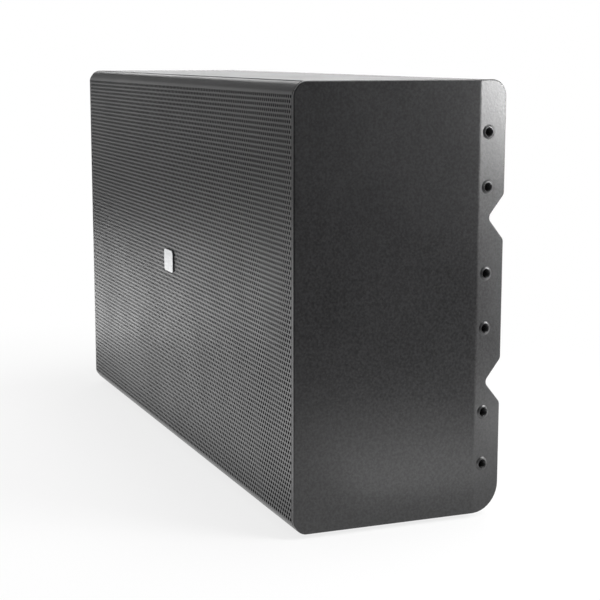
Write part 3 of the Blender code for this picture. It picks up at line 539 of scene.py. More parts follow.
def rounded_sheet(
    name: str, corners: Sequence[Corner], place: Callable[[float, float], Vector], steps: int = 8
) -> Piece:
    """Draw a flat sheet with rounded corners.

    Args:
        name: The new object's name.
        corners: (across, up, radius) of each corner, in order.
        place: Turns (across, up) into a place in space.
        steps: How many edges make one rounding.

    Returns:
        The sheet, one face without thickness.
    """
    flat = [Vector((across, up)) for across, up, _ in corners]
    sheet = drawn_line(name, [place(*point) for point in flat])
    with editing(sheet):
        bpy.ops.mesh.edge_face_add()
        for number, (_, _, radius) in enumerate(corners):
            if not radius:
                continue
            here = flat[number]
            opening = (flat[number - 1] - here).angle(flat[(number + 1) % len(flat)] - here)
            target = place(*here)
            pick(sheet, Pick.VERTICES, lambda vertex: (vertex.co - target).length < 0.01 * MM)
            bpy.ops.mesh.bevel(
                affect="VERTICES", offset=radius / math.tan(opening / 2), segments=steps, clamp_overlap=False
            )
    return sheet


def upright(y: float) -> Callable[[float, float], Vector]:
    """Return the placing of a sheet that stands across the cabinet at a depth."""
    return lambda across, up: Vector((across, y, up))


def rectangle(width: float, height: float, radius: float, x: float = 0, z: float = MID_Z) -> list[Corner]:
    """Return the rounded corners of an upright rectangle.

    Args:
        width: Its size along X.
        height: Its size along Z.
        radius: The radius of its corners.
        x: Its centre along X.
        z: Its centre along Z.

    Returns:
        Four (across, up, radius) corners.
    """
    signs = ((-1, -1), (1, -1), (1, 1), (-1, 1))
    return [(x + across * width / 2, z + up * height / 2, radius) for across, up in signs]


def face_along(piece: Piece, direction: Vector) -> None:
    """Turn an open sheet's normals so that they point along a direction."""
    with editing(piece):
        bpy.ops.mesh.normals_make_consistent(inside=False)
        mesh = bmesh.from_edit_mesh(piece.data)
        total = sum((face.normal * face.calc_area() for face in mesh.faces), Vector())
        if total.dot(direction) < 0:
            bpy.ops.mesh.flip_normals()


def thicken(piece: Piece, direction: Sequence[float]) -> None:
    """Extrude a flat sheet into a solid plate.

    Args:
        piece: The sheet.
        direction: Which way, and how far, its second face lies.
    """
    with editing(piece):
        extrude(direction)
        bpy.ops.mesh.select_all(action="SELECT")
        bpy.ops.mesh.normals_make_consistent(inside=False)


def apply_modifier(piece: Piece, kind: str, **settings: object) -> None:
    """Add a modifier with its settings and apply it.

    Args:
        piece: The object.
        kind: The modifier's type.
        **settings: Its properties.
    """
    activate(piece)
    modifier = piece.modifiers.new(kind.lower(), kind)
    for key, value in settings.items():
        setattr(modifier, key, value)
    bpy.ops.object.modifier_apply(modifier=modifier.name)


def soften(piece: Piece, width: float, segments: int = 3) -> None:
    """Round the edges sharper than 35 degrees and shade the piece, with its flats kept flat.

    Args:
        piece: The object.
        width: How far the rounding reaches from each edge.
        segments: How many faces make one rounding.
    """
    apply_modifier(
        piece, "BEVEL", width=width, segments=segments, limit_method="ANGLE",
        angle_limit=math.radians(35), use_clamp_overlap=False,
    )
    shade(piece, 50, flats=True)


def shade(piece: Piece, angle: float = 32, flats: bool = False) -> None:
    """Shade a piece smooth.

    Args:
        piece: The object.
        angle: Edges sharper than this, in degrees, stay sharp.
        flats: True to keep its broad faces looking flat up to their roundings.
    """
    activate(piece)
    bpy.ops.object.shade_smooth_by_angle(angle=math.radians(angle))
    if flats:
        apply_modifier(piece, "WEIGHTED_NORMAL", keep_sharp=True)


def lathed(
    name: str, profile: Sequence[tuple[float, float]], segments: int = 64, angle: float = 32
) -> Piece:
    """Turn a profile about the Y axis and shade it smooth up to an angle."""
    piece = turned(name, profile, segments)
    shade(piece, angle)
    return piece


def discard(piece: Piece) -> None:
    """Clear a tool or a model away."""
    bpy.data.objects.remove(piece, do_unlink=True)


def carve(piece: Piece, cutters: Iterable[Piece]) -> None:
    """Cut tool solids out of a piece and clear the tools away.

    Args:
        piece: The solid.
        cutters: The tools, used once.
    """
    for cutter in cutters:
        apply_modifier(piece, "BOOLEAN", operation="DIFFERENCE", solver="EXACT", object=cutter)
        discard(cutter)


def copied(piece: Piece, name: str, matrix: Matrix | None = None) -> Piece:
    """Copy a piece with its own mesh, and move the mesh.

    Args:
        piece: The model.
        name: The copy's name.
        matrix: How the copy's mesh is turned and moved.

    Returns:
        The copy.
    """
    copy = piece.copy()
    copy.data = piece.data.copy()
    copy.name = name
    copy.data.name = name
    bpy.context.scene.collection.objects.link(copy)
    if matrix:
        copy.data.transform(matrix)
        if matrix.determinant() < 0:
            copy.data.flip_normals()
    return copy


def joined(name: str, pieces: Sequence[Piece]) -> Piece:
    """Join several meshes into one piece and name it."""
    activate(pieces[0])
    for piece in pieces:
        piece.select_set(True)
    bpy.ops.object.join()
    return named(name)


def hand_over(
    piece: Piece, finish: Finish, body: str = CABINET, replaces: Sequence[str] = ()
) -> Piece:
    """Settle a piece at the origin, give it its finish and hang it on its body.

    Args:
        piece: The finished mesh, in place.
        finish: Its finish.
        body: The body that it moves with.
        replaces: The nodes that it stands for.

    Returns:
        The piece.
    """
    activate(piece)
    bpy.ops.object.transform_apply(location=True, rotation=True, scale=True)
    piece.data.materials.clear()
    piece.data.materials.append(finish.material())
    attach(piece, body)
    if replaces:
        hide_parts(*replaces)
    LOG.info("%s: %d faces, %s", piece.name, len(piece.data.polygons), finish.name)
    return piece


@dataclass(frozen=True)
class Spot:
    """Where a copy of a model goes: its name, its place, the node it stands for and its body."""

    name: str
    place: Matrix
    node: str = ""
    body: str = CABINET


def set_out(model: Piece, finish: Finish, spots: Iterable[Spot]) -> None:
    """Copy a model to its spots, hand each copy over, and clear the model away."""
    for spot in spots:
        copy = copied(model, spot.name, spot.place)
        hand_over(copy, finish, spot.body, [spot.node] if spot.node else ())
    discard(model)


def repaint(finish: Finish, *nodes: str) -> None:
    """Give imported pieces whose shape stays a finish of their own.

    Args:
        finish: The finish.
        *nodes: The pieces' names.
    """
    for name in nodes:
        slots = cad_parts[name].material_slots
        for slot in slots:
            slot.link = "OBJECT"
            slot.material = finish.material()
        LOG.info("%s: repainted, %s", name, finish.name)


# ---- the front -------------------------------------------------------------------------
@dataclass
class PerforatedGrille:
    """The steel front: staggered round holes, and a fold over each chamfer.

    The pitch follows from the sheet's width and the number of holes in a row. A cell is a
    hexagon round one hole, so that cells meet edge to edge.
    """

    columns: int = 138
    rows: int = 87
    hole_radius: float = 1.25 * MM
    hole_sides: int = 12
    edge_distance: float = 2.1 * MM
    thickness: float = 1.2 * MM
    chamfer_depth: float = 5.5 * MM
    chamfer_height: float = 7.5 * MM
    fold_radius: float = 6.5 * MM
    fold_steps: int = 5
    shoulder_radius: float = 7.5 * MM
    shoulder_turn: float = math.radians(30)
    shoulder_steps: int = 5
    pieces: int = 4

    @property
    def pitch(self) -> float:
        """Return the distance between two holes of a row."""
        return 2 * (INNER_HALF - self.edge_distance) / (self.columns - 1)

    @property
    def row_pitch(self) -> float:
        """Return the distance between two rows."""
        return self.pitch * math.sqrt(3) / 2

    @property
    def fold_angle(self) -> float:
        """Return the angle that the sheet is folded by."""
        return math.atan2(self.chamfer_depth, self.chamfer_height)

    @property
    def flat_half(self) -> float:
        """Return half the height of the flat, up to where the fold's rounding starts."""
        return TOP_Z - MID_Z - self.chamfer_height - self.fold_radius * math.tan(self.fold_angle / 2)

    def bends(self) -> tuple[list[tuple[float, float]], float]:
        """Work out the fold on the flat blank: the front rounding, the slope and the shoulder.

        Returns:
            (distance past the flat, angle) of each small bend, and the fold's whole length.
        """
        lean, turn = self.fold_angle / self.fold_steps, self.shoulder_turn / self.shoulder_steps
        slope = math.hypot(self.chamfer_depth, self.chamfer_height)
        slope -= self.fold_radius * math.tan(self.fold_angle / 2)
        slope -= self.shoulder_radius * math.tan((math.pi / 2 - self.fold_angle) / 2)
        start = self.fold_radius * self.fold_angle + slope
        lines = [((number + 0.5) * lean * self.fold_radius, lean) for number in range(self.fold_steps)]
        lines += [
            (start + (number + 0.5) * turn * self.shoulder_radius, turn) for number in range(self.shoulder_steps)
        ]
        return lines, start + self.shoulder_turn * self.shoulder_radius

    def cell(self, x: float, z: float) -> Piece:
        """Model one hexagonal cell with its hole.

        Args:
            x: The hole's centre across.
            z: The hole's centre up.

        Returns:
            A flat ring from the hexagon to the hole.
        """
        bpy.ops.object.select_all(action="DESELECT")
        at = {"location": (x, FRONT_Y, z), "rotation": (math.pi / 2, 0, 0), "fill_type": "NOTHING"}
        bpy.ops.mesh.primitive_circle_add(vertices=6, radius=self.pitch / math.sqrt(3), **at)
        cell = named("cell")
        with editing(cell):
            bpy.ops.mesh.primitive_circle_add(vertices=self.hole_sides, radius=self.hole_radius, **at)
            bpy.ops.mesh.select_all(action="SELECT")
            bpy.ops.mesh.bridge_edge_loops()
        return cell

    def field(self) -> Piece:
        """Lay out all cells: a full row, then one shorter by a cell, and so on."""
        first_x = self.edge_distance - INNER_HALF
        first_z = MID_Z - (self.rows - 1) / 2 * self.row_pitch
        layers = []
        for shorter in (0, 1):
            layer = self.cell(first_x + shorter * self.pitch / 2, first_z + shorter * self.row_pitch)
            bpy.ops.object.transform_apply(location=True, rotation=True, scale=True)
            counts = (self.columns - shorter, (self.rows + 1) // 2 - shorter)
            steps = ((self.pitch, 0, 0), (0, 0, 2 * self.row_pitch))
            for count, step in zip(counts, steps):
                apply_modifier(
                    layer, "ARRAY", count=count, use_relative_offset=False,
                    use_constant_offset=True, constant_offset_displace=step,
                )
            layers.append(layer)
        return joined("grille_sheet", layers)

    def add_margin(self, sheet: Piece) -> None:
        """Run the sheet on from the outermost cells to the blank's straight edges."""
        last_x = INNER_HALF - self.edge_distance
        last_z = ((self.rows - 1) * self.row_pitch + self.pitch / math.sqrt(3)) / 2
        blank_half = self.flat_half + self.bends()[1]
        lifted, play = FRONT_Y - 0.5 * MM, 0.1 * MM
        with editing(sheet):
            bpy.ops.mesh.remove_doubles(threshold=0.02 * MM)
            pick(sheet, Pick.EDGES, lambda edge: edge.is_boundary and edge.calc_length() > 1.2 * MM)
            extrude((0, -MM, 0))
            for sign in (1, -1):
                pick(
                    sheet, Pick.VERTICES,
                    lambda v: v.co.y < lifted and sign * v.co.x > last_x - play and abs(v.co.z - MID_Z) < last_z + play,
                )
                resize_about((sign * INNER_HALF, FRONT_Y, MID_Z), (0, 1, 1))
            for sign in (1, -1):
                pick(sheet, Pick.VERTICES, lambda v: v.co.y < lifted and sign * (v.co.z - MID_Z) > last_z - play)
                resize_about((0, FRONT_Y, MID_Z + sign * blank_half), (1, 1, 0))
            pick(sheet, Pick.VERTICES, lambda v: v.co.y < lifted)
            resize_about((0, FRONT_Y, MID_Z), (1, 0, 1))

    def fold(self, sheet: Piece) -> None:
        """Bend the blank's top and bottom over the chamfers, the outermost line first."""
        lines = self.bends()[0]
        with editing(sheet):
            for sign in (1, -1):
                for distance, _ in lines:
                    height = MID_Z + sign * (self.flat_half + distance)
                    pick(sheet, Pick.FACES, lambda face: any(abs(v.co.z - height) < 12 * MM for v in face.verts))
                    bpy.ops.mesh.bisect(plane_co=(0, FRONT_Y, height), plane_no=(0, 0, 1))
                for distance, angle in reversed(lines):
                    height = self.flat_half + distance
                    pick(sheet, Pick.VERTICES, lambda v: sign * (v.co.z - MID_Z) > height + 0.01 * MM)
                    bpy.ops.transform.rotate(
                        value=sign * angle, orient_axis="X",
                        center_override=(0, FRONT_Y, MID_Z + sign * height),
                    )

    def split(self, sheet: Piece) -> list[Piece]:
        """Part the sheet into strips of a size that the files can hold.

        Args:
            sheet: The whole sheet.

        Returns:
            The strips, from left to right.
        """
        strips = []
        for number in range(1, self.pieces):
            limit = -INNER_HALF + 2 * INNER_HALF * number / self.pieces
            with editing(sheet):
                pick(sheet, Pick.FACES, lambda face: face.calc_center_median().x < limit)
                bpy.ops.mesh.separate(type="SELECTED")
            strips.append(next(item for item in bpy.context.selected_objects if item != sheet))
        return [*strips, sheet]

    def build(self) -> None:
        """Build the whole front."""
        sheet = self.field()
        self.add_margin(sheet)
        self.fold(sheet)
        with editing(sheet):
            pick(sheet, Pick.FACES, lambda face: face.normal.y > 0)
            bpy.ops.mesh.flip_normals()
        for number, strip in enumerate(self.split(sheet), start=1):
            activate(strip)
            strip.name = strip.data.name = f"grille_sheet_{number}"
            apply_modifier(strip, "SOLIDIFY", thickness=self.thickness, offset=-1.0)
            shade(strip, 25)
            hand_over(strip, GRILLE_POWDER, replaces=["front_grille"])


@dataclass
class Badge:
    """The plain metal plate in front of the grille."""

    width: float = 23 * MM
    height: float = 18 * MM
    radius: float = 3 * MM
    thickness: float = 0.8 * MM
    x: float = -10 * MM

    def build(self) -> None:
        """Build the badge with its softly rounded edge."""
        front = FRONT_Y - CLEARANCE - self.thickness
        badge = rounded_sheet("badge", rectangle(self.width, self.height, self.radius, self.x), upright(front))
        thicken(badge, (0, self.thickness, 0))
        soften(badge, 0.3 * MM)
        hand_over(badge, BRUSHED_ALUMINIUM, replaces=["grille_badge"])


# ---- the ends --------------------------------------------------------------------------
@dataclass
class RiggingPlate:
    """A steel end plate: chamfered in front, bent and notched behind, bored for inserts."""

    chamfer_depth: float = 5.5 * MM
    chamfer_height: float = 7.5 * MM
    front_radius: float = 6.5 * MM
    shoulder_radius: float = 7.5 * MM
    top_radius: float = 11.5 * MM
    bottom_radius: float = 20 * MM
    notch_offset: float = 57 * MM
    notch_half: float = 15.5 * MM
    notch_depth: float = 13.3 * MM
    notch_radius: float = 4 * MM
    bend_steps: int = 6
    bend_radius: float = 15 * MM
    bore_radius: float = 4.5 * MM
    insert_offsets: tuple[float, ...] = (0.115, 0.078, 0.019, -0.019, -0.078, -0.115)
    insert_setback: float = 14.5 * MM
    edge_radius: float = 0.9 * MM

    def corners(self) -> list[Corner]:
        """Return the side view's corners as (y, z, radius)."""
        listed = [
            (FRONT_Y + self.chamfer_depth, BOTTOM_Z, self.shoulder_radius),
            (REAR_Y, BOTTOM_Z, self.bottom_radius),
        ]
        for centre in (MID_Z - self.notch_offset, MID_Z + self.notch_offset):
            listed += [
                (REAR_Y, centre - self.notch_half, self.notch_radius),
                (REAR_Y - self.notch_depth, centre, self.notch_radius),
                (REAR_Y, centre + self.notch_half, self.notch_radius),
            ]
        return listed + [
            (REAR_Y, TOP_Z, self.top_radius),
            (FRONT_Y + self.chamfer_depth, TOP_Z, self.shoulder_radius),
            (FRONT_Y, TOP_Z - self.chamfer_height, self.front_radius),
            (FRONT_Y, BOTTOM_Z + self.chamfer_height, self.front_radius),
        ]

    @property
    def crease_y(self) -> float:
        """Return the depth at which the outer faces of the flat and the strip would meet."""
        return BEND_Y + BEND_RADIUS * math.tan(BEND_ANGLE / 2)

    def strip_x(self, y: float) -> float:
        """Return where the outer face of the bent strip lies at a depth."""
        return HALF_WIDTH - max(y - self.crease_y, 0) * math.tan(BEND_ANGLE)

    def insert_frame(self, side: Side, offset: float) -> Matrix:
        """Return the place and turn of an insert, whose own axis is +Y outward.

        Args:
            side: The end of the cabinet.
            offset: The height from the middle.

        Returns:
            The matrix from the insert's own place to the plate's outer face.
        """
        y = REAR_Y - self.insert_setback
        point = Vector((side.value * self.strip_x(y), y, MID_Z + offset))
        outward = Vector((side.value * math.cos(BEND_ANGLE), math.sin(BEND_ANGLE), 0))
        turn = outward.to_track_quat("Y", "Z").to_matrix().to_4x4()
        return Matrix.Translation(point) @ turn

    def bend(self, sheet: Piece) -> None:
        """Bend the rear strip inward, a little at each of several lines.

        Level cuts through the bores and notches keep every flat face simple.
        """
        share = BEND_ANGLE / self.bend_steps
        first = self.crease_y - self.bend_radius * math.tan(BEND_ANGLE / 2)
        with editing(sheet):
            lines = [first + self.bend_radius * share * number for number in range(self.bend_steps + 1)]
            line = lines[-1]
            for cut in lines:
                bpy.ops.mesh.select_all(action="SELECT")
                bpy.ops.mesh.bisect(plane_co=(HALF_WIDTH, cut, MID_Z), plane_no=(0, 1, 0))
            for offset in (*self.insert_offsets, self.notch_offset, -self.notch_offset):
                bpy.ops.mesh.select_all(action="SELECT")
                bpy.ops.mesh.bisect(plane_co=(HALF_WIDTH, 0, MID_Z + offset), plane_no=(0, 0, 1))
            pick(sheet, Pick.VERTICES, lambda vertex: vertex.co.y > line + 0.01 * MM)
            resize_about((HALF_WIDTH, line, MID_Z), (1, 1 / math.cos(BEND_ANGLE), 1))
            for number in range(self.bend_steps):
                angle = share * number
                pivot = Vector((
                    HALF_WIDTH - self.bend_radius * (1 - math.cos(angle)),
                    first + self.bend_radius * math.sin(angle), MID_Z,
                ))
                pick(sheet, Pick.VERTICES, lambda vertex: vertex.co.y > pivot.y + 0.02 * MM)
                bpy.ops.transform.rotate(value=-share, orient_axis="Z", center_override=pivot)

    def build(self) -> None:
        """Build the right plate, and the left one as its mirror image."""
        sheet = rounded_sheet("rigging_plate_right", self.corners(), lambda y, z: Vector((HALF_WIDTH, y, z)), 10)
        self.bend(sheet)
        face_along(sheet, Vector((1, 0, 0)))
        apply_modifier(sheet, "SOLIDIFY", thickness=PLATE_THICKNESS, offset=-1.0, use_even_offset=True)
        soften(sheet, self.edge_radius, 4)
        bores = []
        for offset in self.insert_offsets:
            bpy.ops.mesh.primitive_cylinder_add(vertices=40, radius=self.bore_radius, depth=16 * MM)
            bore = named("bore")
            bore.matrix_world = self.insert_frame(Side.RIGHT, offset) @ Matrix.Rotation(math.pi / 2, 4, "X")
            bores.append(bore)
        carve(sheet, bores)
        shade(sheet, 50, flats=True)
        mirrored = copied(sheet, "rigging_plate_left", MIRROR)
        hand_over(sheet, PLATE_POWDER, replaces=["side_plate_right"])
        hand_over(mirrored, PLATE_POWDER, replaces=["side_plate_left"])


@dataclass
class ThreadedInsert:
    """A steel rivet nut: a thin rounded head, a shank and a threaded blind bore."""

    head_radius: float = 4.95 * MM
    head: float = 0.6 * MM
    shank_radius: float = 4.2 * MM
    bore_radius: float = 3.0 * MM
    thread_depth: float = 0.35 * MM
    thread_pitch: float = 1.0 * MM
    bore_depth: float = 10.5 * MM
    length: float = 12 * MM

    def profile(self) -> list[tuple[float, float]]:
        """Return the lathe profile, with +Y outward and 0 on the plate's face."""
        top, rim = self.head, self.head_radius
        points = [
            (0, top - self.length), (self.shank_radius, top - self.length),
            (self.shank_radius, 0), (rim, 0), (rim - 0.3 * MM, 0.28 * top), (rim - 0.8 * MM, 0.64 * top),
            (rim - 1.25 * MM, 0.92 * top), (rim - 1.55 * MM, top),
            (self.bore_radius + 0.25 * MM, top), (self.bore_radius, top - 0.25 * MM),
        ]
        turns = int((self.bore_depth - 1.5 * MM) / self.thread_pitch)
        for number in range(turns):
            start = top - 0.6 * MM - number * self.thread_pitch
            points += [
                (self.bore_radius - self.thread_depth, start - 0.25 * self.thread_pitch),
                (self.bore_radius, start - 0.75 * self.thread_pitch),
            ]
        return points + [(self.bore_radius, top - self.bore_depth), (0, top - self.bore_depth)]

    def build(self, plate: RiggingPlate) -> None:
        """Build one insert and set a copy in each bore.

        Args:
            plate: The plate whose bores the inserts sit in.
        """
        set_out(lathed("insert_model", self.profile(), 36), COATED_INSERT, [
            Spot(
                f"threaded_insert_{side.label}_{number}", plate.insert_frame(side, offset),
                f"rigging_insert_{side.label}_{number}",
            )
            for side in Side for number, offset in enumerate(plate.insert_offsets, start=1)
        ])


# ---- the box ---------------------------------------------------------------------------
@dataclass
class CabinetPanel:
    """The top or the bottom panel, tapered behind to the bent strips."""

    name: str
    node: str
    low_z: float
    rear_y: float
    thickness: float = PANEL_THICKNESS
    front_setback: float = 7.0 * MM
    edge_radius: float = 0.8 * MM

    def build(self) -> None:
        """Build the panel with softened edges."""
        inset = PLATE_THICKNESS + CLEARANCE
        bend_y = BEND_Y + (BEND_RADIUS - inset) * math.tan(BEND_ANGLE / 2)
        rear_half = HALF_WIDTH - inset - max(self.rear_y - bend_y, 0) * math.tan(BEND_ANGLE)
        half = [(INNER_HALF, FRONT_Y + self.front_setback), (INNER_HALF, bend_y), (rear_half, self.rear_y)]
        corners = [(x, y, 0) for x, y in half] + [(-x, y, 0) for x, y in reversed(half)]
        panel = rounded_sheet(self.name, corners, lambda x, y: Vector((x, y, self.low_z)))
        thicken(panel, (0, 0, self.thickness))
        soften(panel, self.edge_radius)
        hand_over(panel, PANEL_PAINT, replaces=[self.node])


@dataclass
class Foot:
    """A low rubber foot with a rounded tread."""

    radius: float = 10 * MM
    height: float = 2.7 * MM
    across: float = 238 * MM
    front_y: float = -30 * MM
    rear_y: float = 40 * MM

    def build(self) -> None:
        """Build one foot and copy it to the four corners."""
        profile = [
            (0, 0), (self.radius - 1.6 * MM, 0), (self.radius - 0.7 * MM, 0.25 * MM),
            (self.radius - 0.3 * MM, 0.9 * MM), (self.radius, self.height), (0, self.height),
        ]
        upward = Matrix.Rotation(math.pi / 2, 4, "X")
        set_out(lathed("foot_model", profile, 40), MOULDED_RUBBER, [
            Spot(
                f"rubber_foot_{end}_{side.label}",
                Matrix.Translation((side.value * self.across, y, 0)) @ upward,
                f"foot_{end}_{side.label}",
            )
            for side in Side for end, y in (("front", self.front_y), ("rear", self.rear_y))
        ])


# ---- fixings ---------------------------------------------------------------------------
@dataclass
class PanScrew:
    """A small pan-head screw with a six-lobe recess."""

    head_radius: float = 2.7 * MM
    height: float = 1.3 * MM
    rim: float = 1.35 * MM
    recess: float = 0.9 * MM
    sides: int = 24
    lobe: float = 0.74

    def model(self) -> Piece:
        """Model one head that faces +Y, with its seat at the origin."""
        bpy.ops.object.select_all(action="DESELECT")
        bpy.ops.mesh.primitive_cylinder_add(
            vertices=self.sides, radius=self.head_radius, depth=self.height,
            location=(0, self.height / 2, 0), rotation=(-math.pi / 2, 0, 0),
        )
        screw = named("screw_model")
        bpy.ops.object.transform_apply(location=True, rotation=True, scale=True)
        inner = self.head_radius - 0.5 * self.rim
        with editing(screw):
            pick(screw, Pick.FACES, lambda face: face.normal.y > 0.9)
            bpy.ops.mesh.inset(thickness=self.rim)
            pick(
                screw, Pick.VERTICES,
                lambda vertex: vertex.co.xz.length < inner
                and round(math.atan2(vertex.co.x, vertex.co.z) * self.sides / math.tau) % 4 in (0, 1),
            )
            resize_about((0, self.height, 0), (self.lobe, 1, self.lobe))
            pick(
                screw, Pick.FACES,
                lambda face: face.normal.y > 0.9 and all(v.co.xz.length < inner for v in face.verts),
            )
            extrude((0, -self.recess, 0))
            pick(
                screw, Pick.EDGES,
                lambda edge: all(
                    v.co.y > self.height - 0.01 * MM and v.co.xz.length > inner for v in edge.verts
                ),
            )
            bpy.ops.mesh.bevel(offset=0.6 * MM, segments=3)
        shade(screw, 40)
        return screw

    def set_in(self, name: str, seats: Sequence[tuple[float, float, float]], forward: bool = False) -> None:
        """Set a group of screws in one fitting.

        Args:
            name: The group's name.
            seats: Where each head lies, on the fitting's face.
            forward: True if the heads face the front, or False if they face the rear.
        """
        model = self.model()
        turn = Matrix.Rotation(math.pi, 4, "Z") if forward else Matrix()
        heads = []
        for number, seat in enumerate(seats):
            twist = Matrix.Rotation(0.7 * number, 4, "Y")
            heads.append(copied(model, f"{name}_{number}", Matrix.Translation(seat) @ turn @ twist))
        discard(model)
        hand_over(joined(name, heads), BLACK_SCREW)


def block(name: str, low: Sequence[float], high: Sequence[float]) -> Piece:
    """Add a cube sized and placed between two corners, as a cutter or a blank to shape.

    Args:
        name: The new object's name.
        low: Its lowest corner.
        high: Its highest corner.

    Returns:
        The block, with its place in its mesh.
    """
    bpy.ops.object.select_all(action="DESELECT")
    bpy.ops.mesh.primitive_cube_add(size=1, location=(Vector(low) + Vector(high)) / 2)
    blank = named(name)
    blank.scale = Vector(high) - Vector(low)
    bpy.ops.object.transform_apply(location=True, rotation=True, scale=True)
    return blank


def drill(name: str, radius: float, x: float, y: tuple[float, float], z: float) -> Piece:
    """Add a cylinder along Y, as a drill.

    Args:
        name: The new object's name.
        radius: Its radius.
        x: Its axis across.
        y: Where it starts and ends.
        z: Its axis up.

    Returns:
        The drill.
    """
    bpy.ops.object.select_all(action="DESELECT")
    bpy.ops.mesh.primitive_cylinder_add(
        vertices=48, radius=radius, depth=y[1] - y[0], location=(x, sum(y) / 2, z), rotation=(math.pi / 2, 0, 0)
    )
    return named(name)


# ---- the back --------------------------------------------------------------------------
@dataclass
class RearPanel:
    """The recessed rear panel with its openings and screws."""

    thickness: float = 9 * MM
    height: float = 275.4 * MM
    handle_x: float = 172 * MM
    handle_width: float = 112.6 * MM
    handle_height: float = 50.6 * MM
    plate_width: float = 100 * MM
    plate_height: float = 40 * MM
    screw_columns: tuple[float, ...] = (-0.249, -0.125, 0, 0.125, 0.249)
    screw_row: float = 129 * MM
    end_screw_row: float = 50 * MM

    def build(self) -> None:
        """Build the panel, its cutouts and its screws."""
        inner_y = REAR_FACE_Y - self.thickness
        panel = rounded_sheet("rear_board", rectangle(2 * INNER_HALF, self.height, 0), upright(REAR_FACE_Y))
        thicken(panel, (0, -self.thickness, 0))
        openings = [(0, self.plate_width, self.plate_height)]
        openings += [(side.value * self.handle_x, self.handle_width, self.handle_height) for side in Side]
        carve(panel, [
            block(
                "opening", (x - width / 2, inner_y - 4 * MM, MID_Z - height / 2),
                (x + width / 2, REAR_FACE_Y + 4 * MM, MID_Z + height / 2),
            )
            for x, width, height in openings
        ])
        soften(panel, 0.7 * MM)
        hand_over(panel, PANEL_PAINT, replaces=["rear_panel"])
        seats = [
            (x, REAR_FACE_Y, MID_Z + sign * self.screw_row) for sign in (1, -1) for x in self.screw_columns
        ]
        seats += [
            (side.value * self.screw_columns[-1], REAR_FACE_Y, MID_Z + sign * self.end_screw_row)
            for side in Side for sign in (-1, 1)
        ]
        PanScrew().set_in("rear_board_screws", seats)


